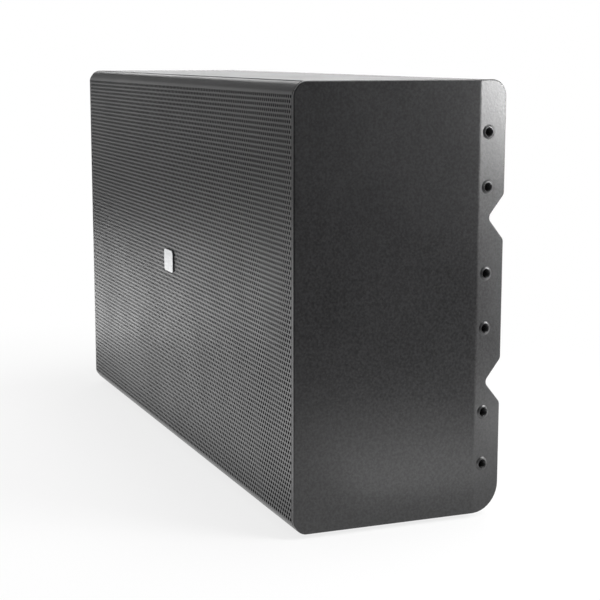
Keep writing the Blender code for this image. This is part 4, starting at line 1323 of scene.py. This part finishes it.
@dataclass
class GripCup:
    """A moulded grip: a rounded flange, a deep cup and a lip for the fingers to hook behind."""

    x: float = 172 * MM
    face_y: float = 58.85 * MM
    width: float = 128 * MM
    height: float = 66 * MM
    flange_radius: float = 9 * MM
    rim_depth: float = 2.4 * MM
    rim_round: float = 0.7 * MM
    mouth_width: float = 107 * MM
    mouth_height: float = 31 * MM
    mouth_drop: float = 7 * MM
    mouth_radius: float = 8 * MM
    lip: float = 14 * MM
    lip_thickness: float = 2.8 * MM
    depth: float = 28.5 * MM
    wall: float = 1.2 * MM
    mouth_round: float = 0.8 * MM
    screw_x: float = 58 * MM
    screw_z: float = 27 * MM

    def step_in(self, distance: float, factors: Sequence[float], height: float) -> None:
        """Extrude the picked rim inward and resize it across and up, about a height."""
        extrude((0, -distance, 0))
        resize_about((self.x, self.face_y, height), (factors[0], 1, factors[1]))

    def skin(self) -> Piece:
        """Model the visible skin of the right grip: flange, mouth, pocket and floor."""
        centre = MID_Z - self.mouth_drop
        flat = (self.width - 2 * self.rim_round, self.height - 2 * self.rim_round)
        outline = rectangle(*flat, self.flange_radius - self.rim_round, self.x)
        opening = rectangle(self.mouth_width, self.mouth_height, self.mouth_radius, self.x, centre)
        skin = joined("grip_cup_right", [
            rounded_sheet(name, corners, upright(self.face_y))
            for name, corners in (("flange_outline", outline), ("mouth_outline", opening))
        ])

        def at_mouth(edge: bmesh.types.BMEdge) -> bool:
            """Say whether an edge lies on the open rim of the mouth."""
            return edge.is_boundary and all(
                abs(v.co.x - self.x) < self.mouth_width / 2 + MM
                and abs(v.co.z - centre) < self.mouth_height / 2 + MM for v in edge.verts
            )

        with editing(skin):
            bpy.ops.mesh.delete(type="ONLY_FACE")
            bpy.ops.mesh.select_all(action="SELECT")
            bpy.ops.mesh.bridge_edge_loops()
            pick(skin, Pick.EDGES, lambda edge: edge.is_boundary and not at_mouth(edge))
            for inward, outward in ((0.12, 0.5), (0.38, 0.38), (0.5, 0.12)):
                grown = [1 + 2 * outward * self.rim_round / size for size in flat]
                self.step_in(inward * self.rim_round, grown, MID_Z)
            extrude((0, self.rim_round - self.rim_depth, 0))
            pick(skin, Pick.EDGES, at_mouth)
            for inward, grow in ((0.25, 0.994), (0.35, 0.997), (0.20, 1.0)):
                self.step_in(inward * self.mouth_round, (grow, grow), centre)
            extrude((0, self.mouth_round * 0.8 - self.lip_thickness, 0))
            extrude((0, -0.2 * MM, 0))
            back = self.face_y - self.lip_thickness - 0.1 * MM
            pick(skin, Pick.VERTICES, lambda vertex: vertex.co.y < back and vertex.co.z > centre)
            bpy.ops.transform.translate(value=(0, 0, self.lip))
            pick(skin, Pick.EDGES, lambda edge: edge.is_boundary and all(v.co.y < back for v in edge.verts))
            rest = self.depth - self.lip_thickness
            for inward, grow in ((0.80, 0.985), (0.10, 0.985), (0.07, 0.965), (0.03, 0.94)):
                self.step_in(inward * rest, (grow, grow), centre + self.lip / 2)
            bpy.ops.mesh.edge_face_add()
        return skin

    def build(self) -> None:
        """Build the right grip, its mirror image, and the four screws of each."""
        skin = self.skin()
        with editing(skin):
            bpy.ops.mesh.normals_make_consistent(inside=False)
            mesh = bmesh.from_edit_mesh(skin.data)
            flange = min(mesh.faces, key=lambda face: -face.calc_center_median().y)
            if flange.normal.y < 0:
                bpy.ops.mesh.flip_normals()
        apply_modifier(skin, "SOLIDIFY", thickness=self.wall, offset=-1.0)
        shade(skin, 40, flats=True)
        mirrored = copied(skin, "grip_cup_left", MIRROR)
        hand_over(skin, HANDLE_NYLON, replaces=["rear_handle_right"])
        hand_over(mirrored, HANDLE_NYLON, replaces=["rear_handle_left"])
        for side in Side:
            seats = [
                (side.value * (self.x + across * self.screw_x), self.face_y, MID_Z + up * self.screw_z)
                for across in (-1, 1) for up in (-1, 1)
            ]
            PanScrew(2.4 * MM, 1.1 * MM, 1.2 * MM, 0.8 * MM).set_in(f"grip_cup_screws_{side.label}", seats)


@dataclass
class ConnectorField:
    """The anodised connector plate with its two link sockets and their contacts."""

    face_y: float = 58.35 * MM
    thickness: float = 2 * MM
    width: float = 124 * MM
    height: float = 62 * MM
    socket_x: float = 26 * MM
    hole_radius: float = 12.3 * MM
    flange_y: float = 60.65 * MM
    flange_width: float = 26 * MM
    flange_height: float = 31 * MM
    barrel_radius: float = 11.9 * MM
    ring_radius: float = 10.6 * MM
    hub_radius: float = 4.2 * MM
    recess: float = 18 * MM
    length: float = 22.5 * MM
    plate_screw_x: float = 56 * MM
    plate_screw_z: float = 25 * MM
    flange_screw_x: float = 10 * MM
    flange_screw_z: float = 12.8 * MM

    def plate(self) -> None:
        """Build the plate and its screws."""
        plate = rounded_sheet(
            "connector_plate", rectangle(self.width, self.height, 4 * MM), upright(self.face_y)
        )
        thicken(plate, (0, -self.thickness, 0))
        reach = (self.face_y - 3 * self.thickness, self.face_y + self.thickness)
        carve(plate, [
            drill("socket_drill", self.hole_radius, side.value * self.socket_x, reach, MID_Z) for side in Side
        ])
        soften(plate, 0.3 * MM, 2)
        hand_over(plate, BLACK_ANODISED, replaces=["input_plate"])
        PanScrew().set_in("connector_plate_screws", [
            (across * self.plate_screw_x, self.face_y, MID_Z + up * self.plate_screw_z)
            for across in (-1, 1) for up in (-1, 1)
        ])

    def socket(self) -> Piece:
        """Model one link socket at the origin, its face at 0 and +Y outward."""
        flange = rounded_sheet(
            "socket_flange", rectangle(self.flange_width, self.flange_height, 3 * MM, 0, 0), upright(0)
        )
        thicken(flange, (0, -self.thickness, 0))
        carve(flange, [drill("barrel_drill", self.barrel_radius - 0.6 * MM, 0, (-4 * MM, 4 * MM), 0)])
        soften(flange, 0.3 * MM, 2)
        barrel = lathed("socket_barrel", [
            (0, -0.6 * MM), (self.hub_radius - 0.9 * MM, -0.6 * MM), (self.hub_radius - 0.3 * MM, -0.8 * MM),
            (self.hub_radius, -1.4 * MM), (self.hub_radius, -self.recess), (self.ring_radius, -self.recess),
            (self.ring_radius, -0.9 * MM), (self.ring_radius + 0.2 * MM, -0.2 * MM),
            (self.ring_radius + 0.5 * MM, 0.15 * MM), (self.barrel_radius - 0.5 * MM, 0.15 * MM),
            (self.barrel_radius - 0.1 * MM, 0), (self.barrel_radius - 0.1 * MM, -self.thickness - 0.2 * MM),
            (self.barrel_radius, -self.thickness - 0.4 * MM), (self.barrel_radius, -self.length),
            (0, -self.length),
        ])
        keys = [
            block(
                f"key_{number}", (self.ring_radius - 1.3 * MM, -15 * MM, -half),
                (self.ring_radius + 0.3 * MM, -1.2 * MM, half),
            )
            for number, half in enumerate((1.6 * MM, 0.9 * MM))
        ]
        for key, angle in zip(keys, (90, -60)):
            soften(key, 0.25 * MM, 2)
            key.data.transform(Matrix.Rotation(math.radians(-angle), 4, "Y"))
        latch = block("latch", (-3.2 * MM, 0, 12.1 * MM), (3.2 * MM, 0.9 * MM, 14.4 * MM))
        soften(latch, 0.4 * MM, 2)
        return joined("socket_model", [flange, barrel, *keys, latch])

    def contacts(self) -> Piece:
        """Model the four sprung contacts that stand round the hub."""
        blades = []
        for number in range(4):
            blade = block(
                f"blade_{number}", (self.hub_radius - 0.2 * MM, -16 * MM, -1.1 * MM),
                (self.hub_radius + 0.5 * MM, -3 * MM, 1.1 * MM),
            )
            with editing(blade):
                pick(blade, Pick.VERTICES, lambda v: v.co.y > -4 * MM and v.co.x > self.hub_radius)
                bpy.ops.transform.translate(value=(-0.4 * MM, 0, 0))
            soften(blade, 0.15 * MM, 2)
            blade.data.transform(Matrix.Rotation(math.radians(45 + 90 * number), 4, "Y"))
            blades.append(blade)
        return joined("contacts_model", blades)

    def build(self) -> None:
        """Build the plate, both sockets and their contacts."""
        self.plate()
        places = {
            side.label: Matrix.Translation((side.value * self.socket_x, self.flange_y, MID_Z)) for side in Side
        }
        set_out(self.socket(), SOCKET_NYLON, [
            Spot(f"link_connector_{end}", place, f"link_socket_{end}") for end, place in places.items()
        ])
        set_out(self.contacts(), BRASS_CONTACT, [
            Spot(f"link_contacts_{end}", place) for end, place in places.items()
        ])
        for side in Side:
            seats = [
                (
                    side.value * self.socket_x + sign * self.flange_screw_x, self.flange_y,
                    MID_Z + sign * self.flange_screw_z,
                )
                for sign in (-1, 1)
            ]
            PanScrew(1.9 * MM, 0.9 * MM, 0.95 * MM, 0.6 * MM).set_in(f"link_connector_screws_{side.label}", seats)


# ---- the drivers -----------------------------------------------------------------------
@dataclass
class Woofer:
    """A woofer: frame, rubber roll, pulp cone, cotton spider and magnet motor.

    Sizes along the axis run rearward from the front face of the baffle.
    """

    axis_x: float = 180 * MM
    axis_z: float = 68.5 * MM
    frame_radius: float = 67 * MM
    neck_radius: float = 57 * MM
    rear_radius: float = 44 * MM
    frame_depth: float = 43 * MM
    cone_radius: float = 50 * MM
    cone_depth: float = 22.2 * MM
    former_radius: float = 13.2 * MM
    cap_radius: float = 16.5 * MM
    roll_outer: float = 58.3 * MM
    rubber_outer: float = 64.5 * MM
    motor_radius: float = 38 * MM
    sides: int = 64

    def frame(self) -> Piece:
        """Model the frame, with six windows between its spokes."""
        neck, rear, wall = self.neck_radius, self.rear_radius, 2.5 * MM
        front = -3.3 * MM
        frame_piece = turned("frame_model", [
            (self.frame_radius - 0.5 * MM, front), (self.frame_radius, front + 0.5 * MM),
            (self.frame_radius, -0.3 * MM), (neck, -0.3 * MM), (neck, 5.5 * MM), (neck - 0.6 * MM, 7 * MM),
            (rear + 0.6 * MM, 23 * MM), (rear, 24.5 * MM), (rear, self.frame_depth - 0.8 * MM),
            (rear - 0.8 * MM, self.frame_depth), (19 * MM, self.frame_depth),
            (19 * MM, self.frame_depth - wall), (rear - wall, self.frame_depth - wall),
            (rear - wall, 24 * MM), (neck - wall, 6 * MM), (neck - wall, front),
            (self.frame_radius - 0.5 * MM, front),
        ], self.sides)
        windows = []
        for number in range(3):
            window = block("window", (-0.1, 7.5 * MM, -16 * MM), (0.1, 22.5 * MM, 16 * MM))
            window.data.transform(Matrix.Rotation(math.pi * number / 3, 4, "Y"))
            windows.append(window)
        carve(frame_piece, windows)
        shade(frame_piece, 30)
        return frame_piece

    def cone(self) -> Piece:
        """Model the cone with its curved flare, domed dust cap, lip and former."""
        lip, wall, front = 1.8 * MM, 0.8 * MM, -1.2 * MM
        edge = self.cone_radius - lip
        reach = edge - self.former_radius

        def flare(radius: float) -> float:
            """Return the depth of the cone's front face at a radius."""
            return front + (self.cone_depth - front) * ((edge - radius) / reach) ** 1.08

        cap_y = flare(self.cap_radius)
        cap = [
            (self.cap_radius * math.sin(step * math.pi / 14), cap_y - 5.5 * MM * math.cos(step * math.pi / 14))
            for step in range(8)
        ]
        face = [(radius, flare(radius)) for radius in (
            self.cap_radius + (edge - self.cap_radius) * step / 9 for step in range(1, 10)
        )]
        back = [(radius, flare(radius) + wall) for radius in (
            edge + (self.former_radius - edge) * step / 9 for step in range(10)
        )]
        inner = self.former_radius - wall
        under_cap = [(radius, depth + wall) for radius, depth in reversed(cap[:6])]
        profile = [
            *cap, *face, (self.cone_radius, front), (self.cone_radius, front + wall), *back,
            (self.former_radius, 50 * MM), (inner, 50 * MM), (inner, cap_y), *under_cap,
        ]
        return lathed("cone_model", profile, self.sides, 40)

    def roll(self) -> Piece:
        """Model the rubber half roll with its glued lands."""
        inner, wall, face, rise = self.cone_radius + CLEARANCE, 0.8 * MM, -4.4 * MM, 4.7 * MM
        centre, half = (inner + self.roll_outer) / 2, (self.roll_outer - inner) / 2
        turns = [math.pi * step / 12 for step in range(13)]
        outside = [(centre + half * math.cos(t), face - rise * math.sin(t)) for t in turns]
        inside = [
            (centre - (half - wall) * math.cos(t), face + wall / 2 - (rise - wall / 2) * math.sin(t)) for t in turns
        ]
        profile = [
            (self.rubber_outer - 0.3 * MM, face), *outside, (inner, -0.4 * MM), (inner + wall, -0.4 * MM), *inside,
            (self.roll_outer - wall, face + wall), (self.rubber_outer, face + wall),
            (self.rubber_outer, face + 0.3 * MM), (self.rubber_outer - 0.3 * MM, face),
        ]
        return lathed("roll_model", profile, self.sides, 40)

    def spider(self) -> Piece:
        """Model the corrugated spider."""
        inner, outer, waves, steps = self.former_radius + CLEARANCE, 41.2 * MM, 5, 40
        front = [
            (
                inner + (outer - inner) * step / steps,
                29 * MM - MM * math.cos(math.tau * waves * step / steps),
            )
            for step in range(steps + 1)
        ]
        back = [(radius, depth + 0.6 * MM) for radius, depth in reversed(front)]
        return lathed("spider_model", [*front, *back, front[0]], self.sides, 60)

    def motor(self) -> Piece:
        """Model the magnet motor: two steel plates round a ring, with the coil's groove."""
        start, end = self.frame_depth + CLEARANCE, self.frame_depth + 27.3 * MM
        radius, pole, bore = self.motor_radius, 11.9 * MM, 13.7 * MM
        return lathed("motor_model", [
            (0, start), (pole - 0.3 * MM, start), (pole, start + 0.3 * MM), (pole, start + 17 * MM),
            (bore, start + 17 * MM), (bore, start), (radius - 0.5 * MM, start), (radius, start + 0.5 * MM),
            (radius, start + 5 * MM), (radius - 1.2 * MM, start + 5.2 * MM), (radius - 1.2 * MM, end - 8 * MM),
            (radius, end - 7.8 * MM), (radius, end - 4 * MM), (radius - 1.5 * MM, end - 1.5 * MM),
            (radius - 4 * MM, end), (6 * MM, end), (5 * MM, end - 3 * MM), (0, end - 3 * MM),
        ], self.sides, 30)

    def build(self) -> None:
        """Build one woofer and copy it to its four places. The cones ride on their own bodies."""
        models = {
            "basket": (self.frame(), CAST_FRAME), "surround": (self.roll(), SURROUND_RUBBER),
            "cone": (self.cone(), PULP_CONE), "spider": (self.spider(), SPIDER_COTTON),
            "motor": (self.motor(), MOTOR_ZINC),
        }
        for part, (model, finish) in models.items():
            set_out(model, finish, [
                Spot(
                    f"driver_{part}_{level.label}_{side.label}",
                    Matrix.Translation((side.value * self.axis_x, BAFFLE_Y, MID_Z + level.value * self.axis_z)),
                    f"woofer_{part}_{level.label}_{side.label}",
                    f"cone_{level.label}_{side.label}" if part == "cone" else CABINET,
                )
                for level in Level for side in Side
            ])


@dataclass
class HornSection:
    """The tall waveguide with its flare, and the two compression drivers behind it."""

    front: float = -66.75 * MM
    rear: float = -13.45 * MM
    mouth: float = 92 * MM
    throat: float = 13 * MM
    wall: float = 4 * MM
    height: float = 254 * MM
    flange_height: float = 266 * MM
    border: float = 12 * MM
    driver_z: float = 66 * MM
    steps: int = 16

    def half_width(self, y: float) -> float:
        """Return the flare's inner half width at a depth."""
        inner_end = self.rear - self.wall
        return self.throat + (self.mouth - self.throat) * ((inner_end - y) / (inner_end - self.front)) ** 2

    def flare(self, name: str, grow: float, ends: tuple[float, float], height: float) -> Piece:
        """Model a solid in the flare's plan, wider by an amount on each side.

        Args:
            name: The new object's name.
            grow: How much wider each side is.
            ends: How far it runs past the mouth and past the flare's inner end.
            height: Its height.

        Returns:
            The solid.
        """
        inner_end = self.rear - self.wall
        depths = [self.front + (inner_end - self.front) * step / self.steps for step in range(self.steps + 1)]
        side = [(self.half_width(y) + grow, y) for y in depths]
        side[0] = (side[0][0], side[0][1] - ends[0])
        if ends[1]:
            side.append((self.throat + grow, inner_end + ends[1]))
        corners = [(x, y, 0) for x, y in side] + [(-x, y, 0) for x, y in reversed(side)]
        solid = rounded_sheet(name, corners, lambda x, y: Vector((x, y, MID_Z - height / 2)))
        thicken(solid, (0, 0, height))
        return solid

    def guide(self) -> Piece:
        """Model the waveguide: flared walls, mouth flange and throat plate, cut through."""
        guide = self.flare("horn_waveguide", self.wall, (0, self.wall), self.height)
        half = self.half_width(BAFFLE_Y) + self.border
        flange = block(
            "mouth_flange", (-half, self.front, MID_Z - self.flange_height / 2),
            (half, self.front + 3 * MM, MID_Z + self.flange_height / 2),
        )
        plate = block(
            "throat_plate", (-42 * MM, self.rear - self.wall, MID_Z - self.height / 2),
            (42 * MM, self.rear, MID_Z + self.height / 2),
        )
        for part in (flange, plate):
            apply_modifier(guide, "BOOLEAN", operation="UNION", solver="EXACT", object=part)
            discard(part)
        reach = (self.rear - 2 * self.wall, self.rear + self.wall)
        carve(guide, [
            self.flare("flare_cutter", 0, (4 * MM, 0), self.height - 2 * self.wall),
            *(drill("throat_drill", 12.5 * MM, 0, reach, MID_Z + level.value * self.driver_z) for level in Level),
        ])
        shade(guide, 30)
        return guide

    def driver(self) -> Piece:
        """Model a compression driver, open in front, its throat at 0 and +Y rearward."""
        radius, chamber, plate = 40 * MM, 30 * MM, 12 * MM
        pole, bore, groove = 21.7 * MM, 23.5 * MM, 23 * MM
        return lathed("compression_model", [
            (0, plate), (pole, plate), (pole, groove), (bore, groove), (bore, plate), (chamber, plate),
            (chamber, 4 * MM), (12.5 * MM, 4 * MM), (12.5 * MM, 0.5 * MM), (13 * MM, 0), (radius - 0.8 * MM, 0),
            (radius, 0.8 * MM), (radius, 12 * MM), (radius - 1 * MM, 12.5 * MM), (radius - 1 * MM, 15 * MM),
            (radius, 15.5 * MM), (radius, 30 * MM), (radius - 2.5 * MM, 34 * MM), (radius - 9 * MM, 39.2 * MM),
            (radius - 11 * MM, 40 * MM), (0, 40 * MM),
        ], angle=30)

    def dome(self) -> Piece:
        """Model the foil dome with its rim and coil former."""
        back, wall, inner = 11.1 * MM, 0.8 * MM, 22.2 * MM
        arc = [math.pi / 2 * step / 8 for step in range(9)]
        front = [(inner * math.sin(t), back - wall - 4.5 * MM * math.cos(t)) for t in arc]
        under = [(inner * math.sin(t), back - 4.5 * MM * math.cos(t)) for t in reversed(arc)]
        return lathed("dome_model", [
            *front, (29 * MM, back - wall), (29 * MM, back), (23 * MM, back), (23 * MM, back + 8 * MM),
            (inner, back + 8 * MM), *under,
        ], angle=40)

    def build(self) -> None:
        """Build the waveguide, its screws, both drivers and both moving domes."""
        hand_over(self.guide(), HORN_ABS, replaces=["waveguide"])
        half = self.half_width(BAFFLE_Y) + self.border - 6 * MM
        seats = [
            (side.value * half, self.front, MID_Z + z * MM) for side in Side for z in (-120, -60, 0, 60, 120)
        ]
        PanScrew().set_in("waveguide_screws", seats, forward=True)
        places = {
            level.label: Matrix.Translation((0, self.rear + CLEARANCE, MID_Z + level.value * self.driver_z))
            for level in Level
        }
        set_out(self.driver(), MOTOR_ZINC, [
            Spot(f"compression_driver_{row}", place, f"hf_driver_{row}") for row, place in places.items()
        ])
        set_out(self.dome(), TITANIUM_FOIL, [
            Spot(f"compression_dome_{row}", place, f"hf_diaphragm_{row}", f"diaphragm_{row}")
            for row, place in places.items()
        ])


# ---- studio ----------------------------------------------------------------------------
@dataclass(frozen=True)
class Viewpoint:
    """Where the picture is taken from, fitted to the cabinet's edges."""

    yaw: float = 1.18667
    pitch: float = 0.16513
    roll: float = 0.00112
    right: float = 0.030492
    up: float = 0.112383
    back: float = 1.261074
    focal_pixels: float = 1491.50581
    sensor: float = 36.0
    origin: tuple[float, float, float] = (0, 0.00055, BOTTOM_Z)

    def camera(self) -> None:
        """Set up the camera."""
        yaw, pitch = self.yaw, self.pitch
        back = Vector((math.sin(yaw) * math.cos(pitch), -math.cos(yaw) * math.cos(pitch), math.sin(pitch)))
        level = Vector((math.cos(yaw), math.sin(yaw), 0))
        raised = back.cross(level)
        right = math.cos(self.roll) * level + math.sin(self.roll) * raised
        up = math.cos(self.roll) * raised - math.sin(self.roll) * level
        bpy.ops.object.camera_add()
        camera = bpy.context.object
        place = self.right * right + self.up * up + self.back * back + Vector(self.origin)
        turn = Matrix((right, up, back)).transposed().to_4x4()
        camera.matrix_world = Matrix.Translation(place) @ turn
        camera.data.sensor_width = self.sensor
        camera.data.lens = self.sensor * self.focal_pixels / PIXELS
        camera.data.clip_start = 0.05
        camera.data.clip_end = 60
        bpy.context.scene.camera = camera


@dataclass(frozen=True)
class Softbox:
    """A soft rectangular lamp that faces a point of the object, or straight up as a floor card."""

    name: str
    place: tuple[float, float, float]
    width: float
    height: float
    watts: float
    target: tuple[float, float, float] | None = None
    spread: float = 180

    def build(self) -> None:
        """Hang the lamp."""
        bpy.ops.object.light_add(type="AREA", location=self.place)
        lamp = bpy.context.object
        lamp.name = self.name
        lamp.data.shape = "RECTANGLE"
        lamp.data.size = self.width
        lamp.data.size_y = self.height
        lamp.data.energy = self.watts
        lamp.data.spread = math.radians(self.spread)
        lamp.visible_camera = False
        aim = Vector(self.target) - Vector(self.place) if self.target else Vector((0, 0, 1))
        lamp.rotation_euler = aim.to_track_quat("-Z", "Y").to_euler()


@dataclass
class Studio:
    """A white floor and surround that keep the object's soft shadow, with softboxes and cards."""

    floor_white: float = 0.80
    near: float = 0.38
    far: float = 0.76
    far_gloss: float = 0.05
    surround_gloss: float = 0.14
    ambient: float = 0.35

    def floor(self) -> None:
        """Lay the floor, white to the camera, with a glow round the object for its gloss."""
        bpy.ops.mesh.primitive_plane_add(size=30)
        floor = named("studio_floor")
        material = bpy.data.materials.new("matt_white_studio_floor")
        material.use_nodes = True
        tree = material.node_tree
        tree.nodes.clear()
        path = add_node(tree, "ShaderNodeLightPath").outputs
        place = add_node(tree, "ShaderNodeTexCoord").outputs["Object"]
        distance = add_node(tree, "ShaderNodeVectorMath", {"operation": "LENGTH"}, {0: place}).outputs["Value"]
        glow = remapped(tree, distance, self.near, self.far, 1.0, self.far_gloss)
        strength = calculated(tree, "MAXIMUM", glow, path["Is Camera Ray"])
        even = remapped(tree, distance, 0.3, 0.6, self.floor_white)
        seen = calculated(tree, "MULTIPLY", path["Is Camera Ray"], even)
        shiny = add_node(
            tree, "ShaderNodeMath", {"operation": "ADD", "use_clamp": True},
            {0: path["Is Glossy Ray"], 1: path["Is Transmission Ray"]},
        ).outputs[0]
        share = calculated(tree, "MAXIMUM", seen, shiny)
        matt = add_node(tree, "ShaderNodeBsdfDiffuse", {"Color": linear("#F4F4F4")}).outputs[0]
        white = add_node(tree, "ShaderNodeEmission", links={"Strength": strength}).outputs[0]
        mixed = add_node(tree, "ShaderNodeMixShader", links={0: share, 1: matt, 2: white}).outputs[0]
        add_node(tree, "ShaderNodeOutputMaterial", links={"Surface": mixed})
        floor.data.materials.append(material)

    def surround(self) -> None:
        """Make the world white to the camera and softer to the object."""
        world = bpy.data.worlds.new("white_surround")
        bpy.context.scene.world = world
        world.use_nodes = True
        tree = world.node_tree
        tree.nodes.clear()
        path = add_node(tree, "ShaderNodeLightPath").outputs
        gloss = add_node(
            tree, "ShaderNodeMath",
            {"operation": "MULTIPLY_ADD", 1: self.surround_gloss - self.ambient, 2: self.ambient},
            {0: path["Is Glossy Ray"]},
        ).outputs[0]
        strength = calculated(tree, "MAXIMUM", gloss, path["Is Camera Ray"])
        background = add_node(
            tree, "ShaderNodeBackground", {"Color": linear("#FFFFFF")}, {"Strength": strength}
        ).outputs[0]
        add_node(tree, "ShaderNodeOutputWorld", links={"Surface": background})

    def build(self) -> None:
        """Build the floor, the surround and the lamps."""
        self.floor()
        self.surround()
        middle_point = (0, 0, MID_Z)
        for lamp in (
            Softbox("overhead_softbox", (0.15, 0.25, 1.6), 0.9, 0.6, 12, middle_point),
            Softbox("back_softbox", (-2.6, 1.05, 1.05), 2.0, 0.9, 28, (0, 0, 0.3)),
            Softbox("edge_softbox", (0.79, 0.52, 1.14), 0.3, 0.25, 6.0, (0.263, 0.03, 0.303)),
            Softbox("left_softbox", (-2.3, -1.0, 0.5), 1.4, 1.0, 3.6, middle_point),
            Softbox("strip_softbox", (0.60, 0.58, 0.34), 0.22, 0.2, 2.2, (0.26, 0.064, 0.27)),
            Softbox("strip_spot", (0.60, 0.60, 0.34), 0.2, 0.2, 0.15, (0.26, 0.075, 0.30), 40),
            Softbox("front_card", (-0.12, -0.24, 0.004), 0.62, 0.26, 0.42),
            Softbox("left_card", (-0.75, -0.35, 0.02), 0.9, 0.5, 0.7),
            Softbox("far_left_card", (-0.9, -0.3, 0.004), 0.9, 0.4, 2.7),
            Softbox("low_strip_softbox", (0.50, 0.62, 0.08), 0.24, 0.12, 0.75, (0.26, 0.064, 0.10)),
            Softbox("rear_card", (0.38, 0.34, 0.004), 0.2, 0.24, 0.45),
            Softbox("sill_card", (0.40, 0.08, 0.004), 0.16, 0.16, 0.08),
        ):
            lamp.build()


# ---- assembly --------------------------------------------------------------------------
def main() -> None:
    """Build the speaker piece by piece, then the studio."""
    logging.basicConfig(level=logging.INFO, format="%(name)s %(message)s")
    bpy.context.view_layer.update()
    Viewpoint().camera()
    bpy.context.scene.view_settings.view_transform = "Standard"
    PerforatedGrille().build()
    Badge().build()
    plate = RiggingPlate()
    plate.build()
    ThreadedInsert().build(plate)
    CabinetPanel("top_board", "top_panel", low_z=TOP_Z - PANEL_THICKNESS, rear_y=0.06405).build()
    CabinetPanel("bottom_board", "bottom_panel", low_z=BOTTOM_Z, rear_y=0.05805).build()
    Foot().build()
    RearPanel().build()
    GripCup().build()
    ConnectorField().build()
    HornSection().build()
    Woofer().build()
    repaint(BAFFLE_STAIN, "front_baffle")
    repaint(GREEN_LAMINATE, "crossover_board")
    Studio().build()


if __name__ == "__main__":
    main()
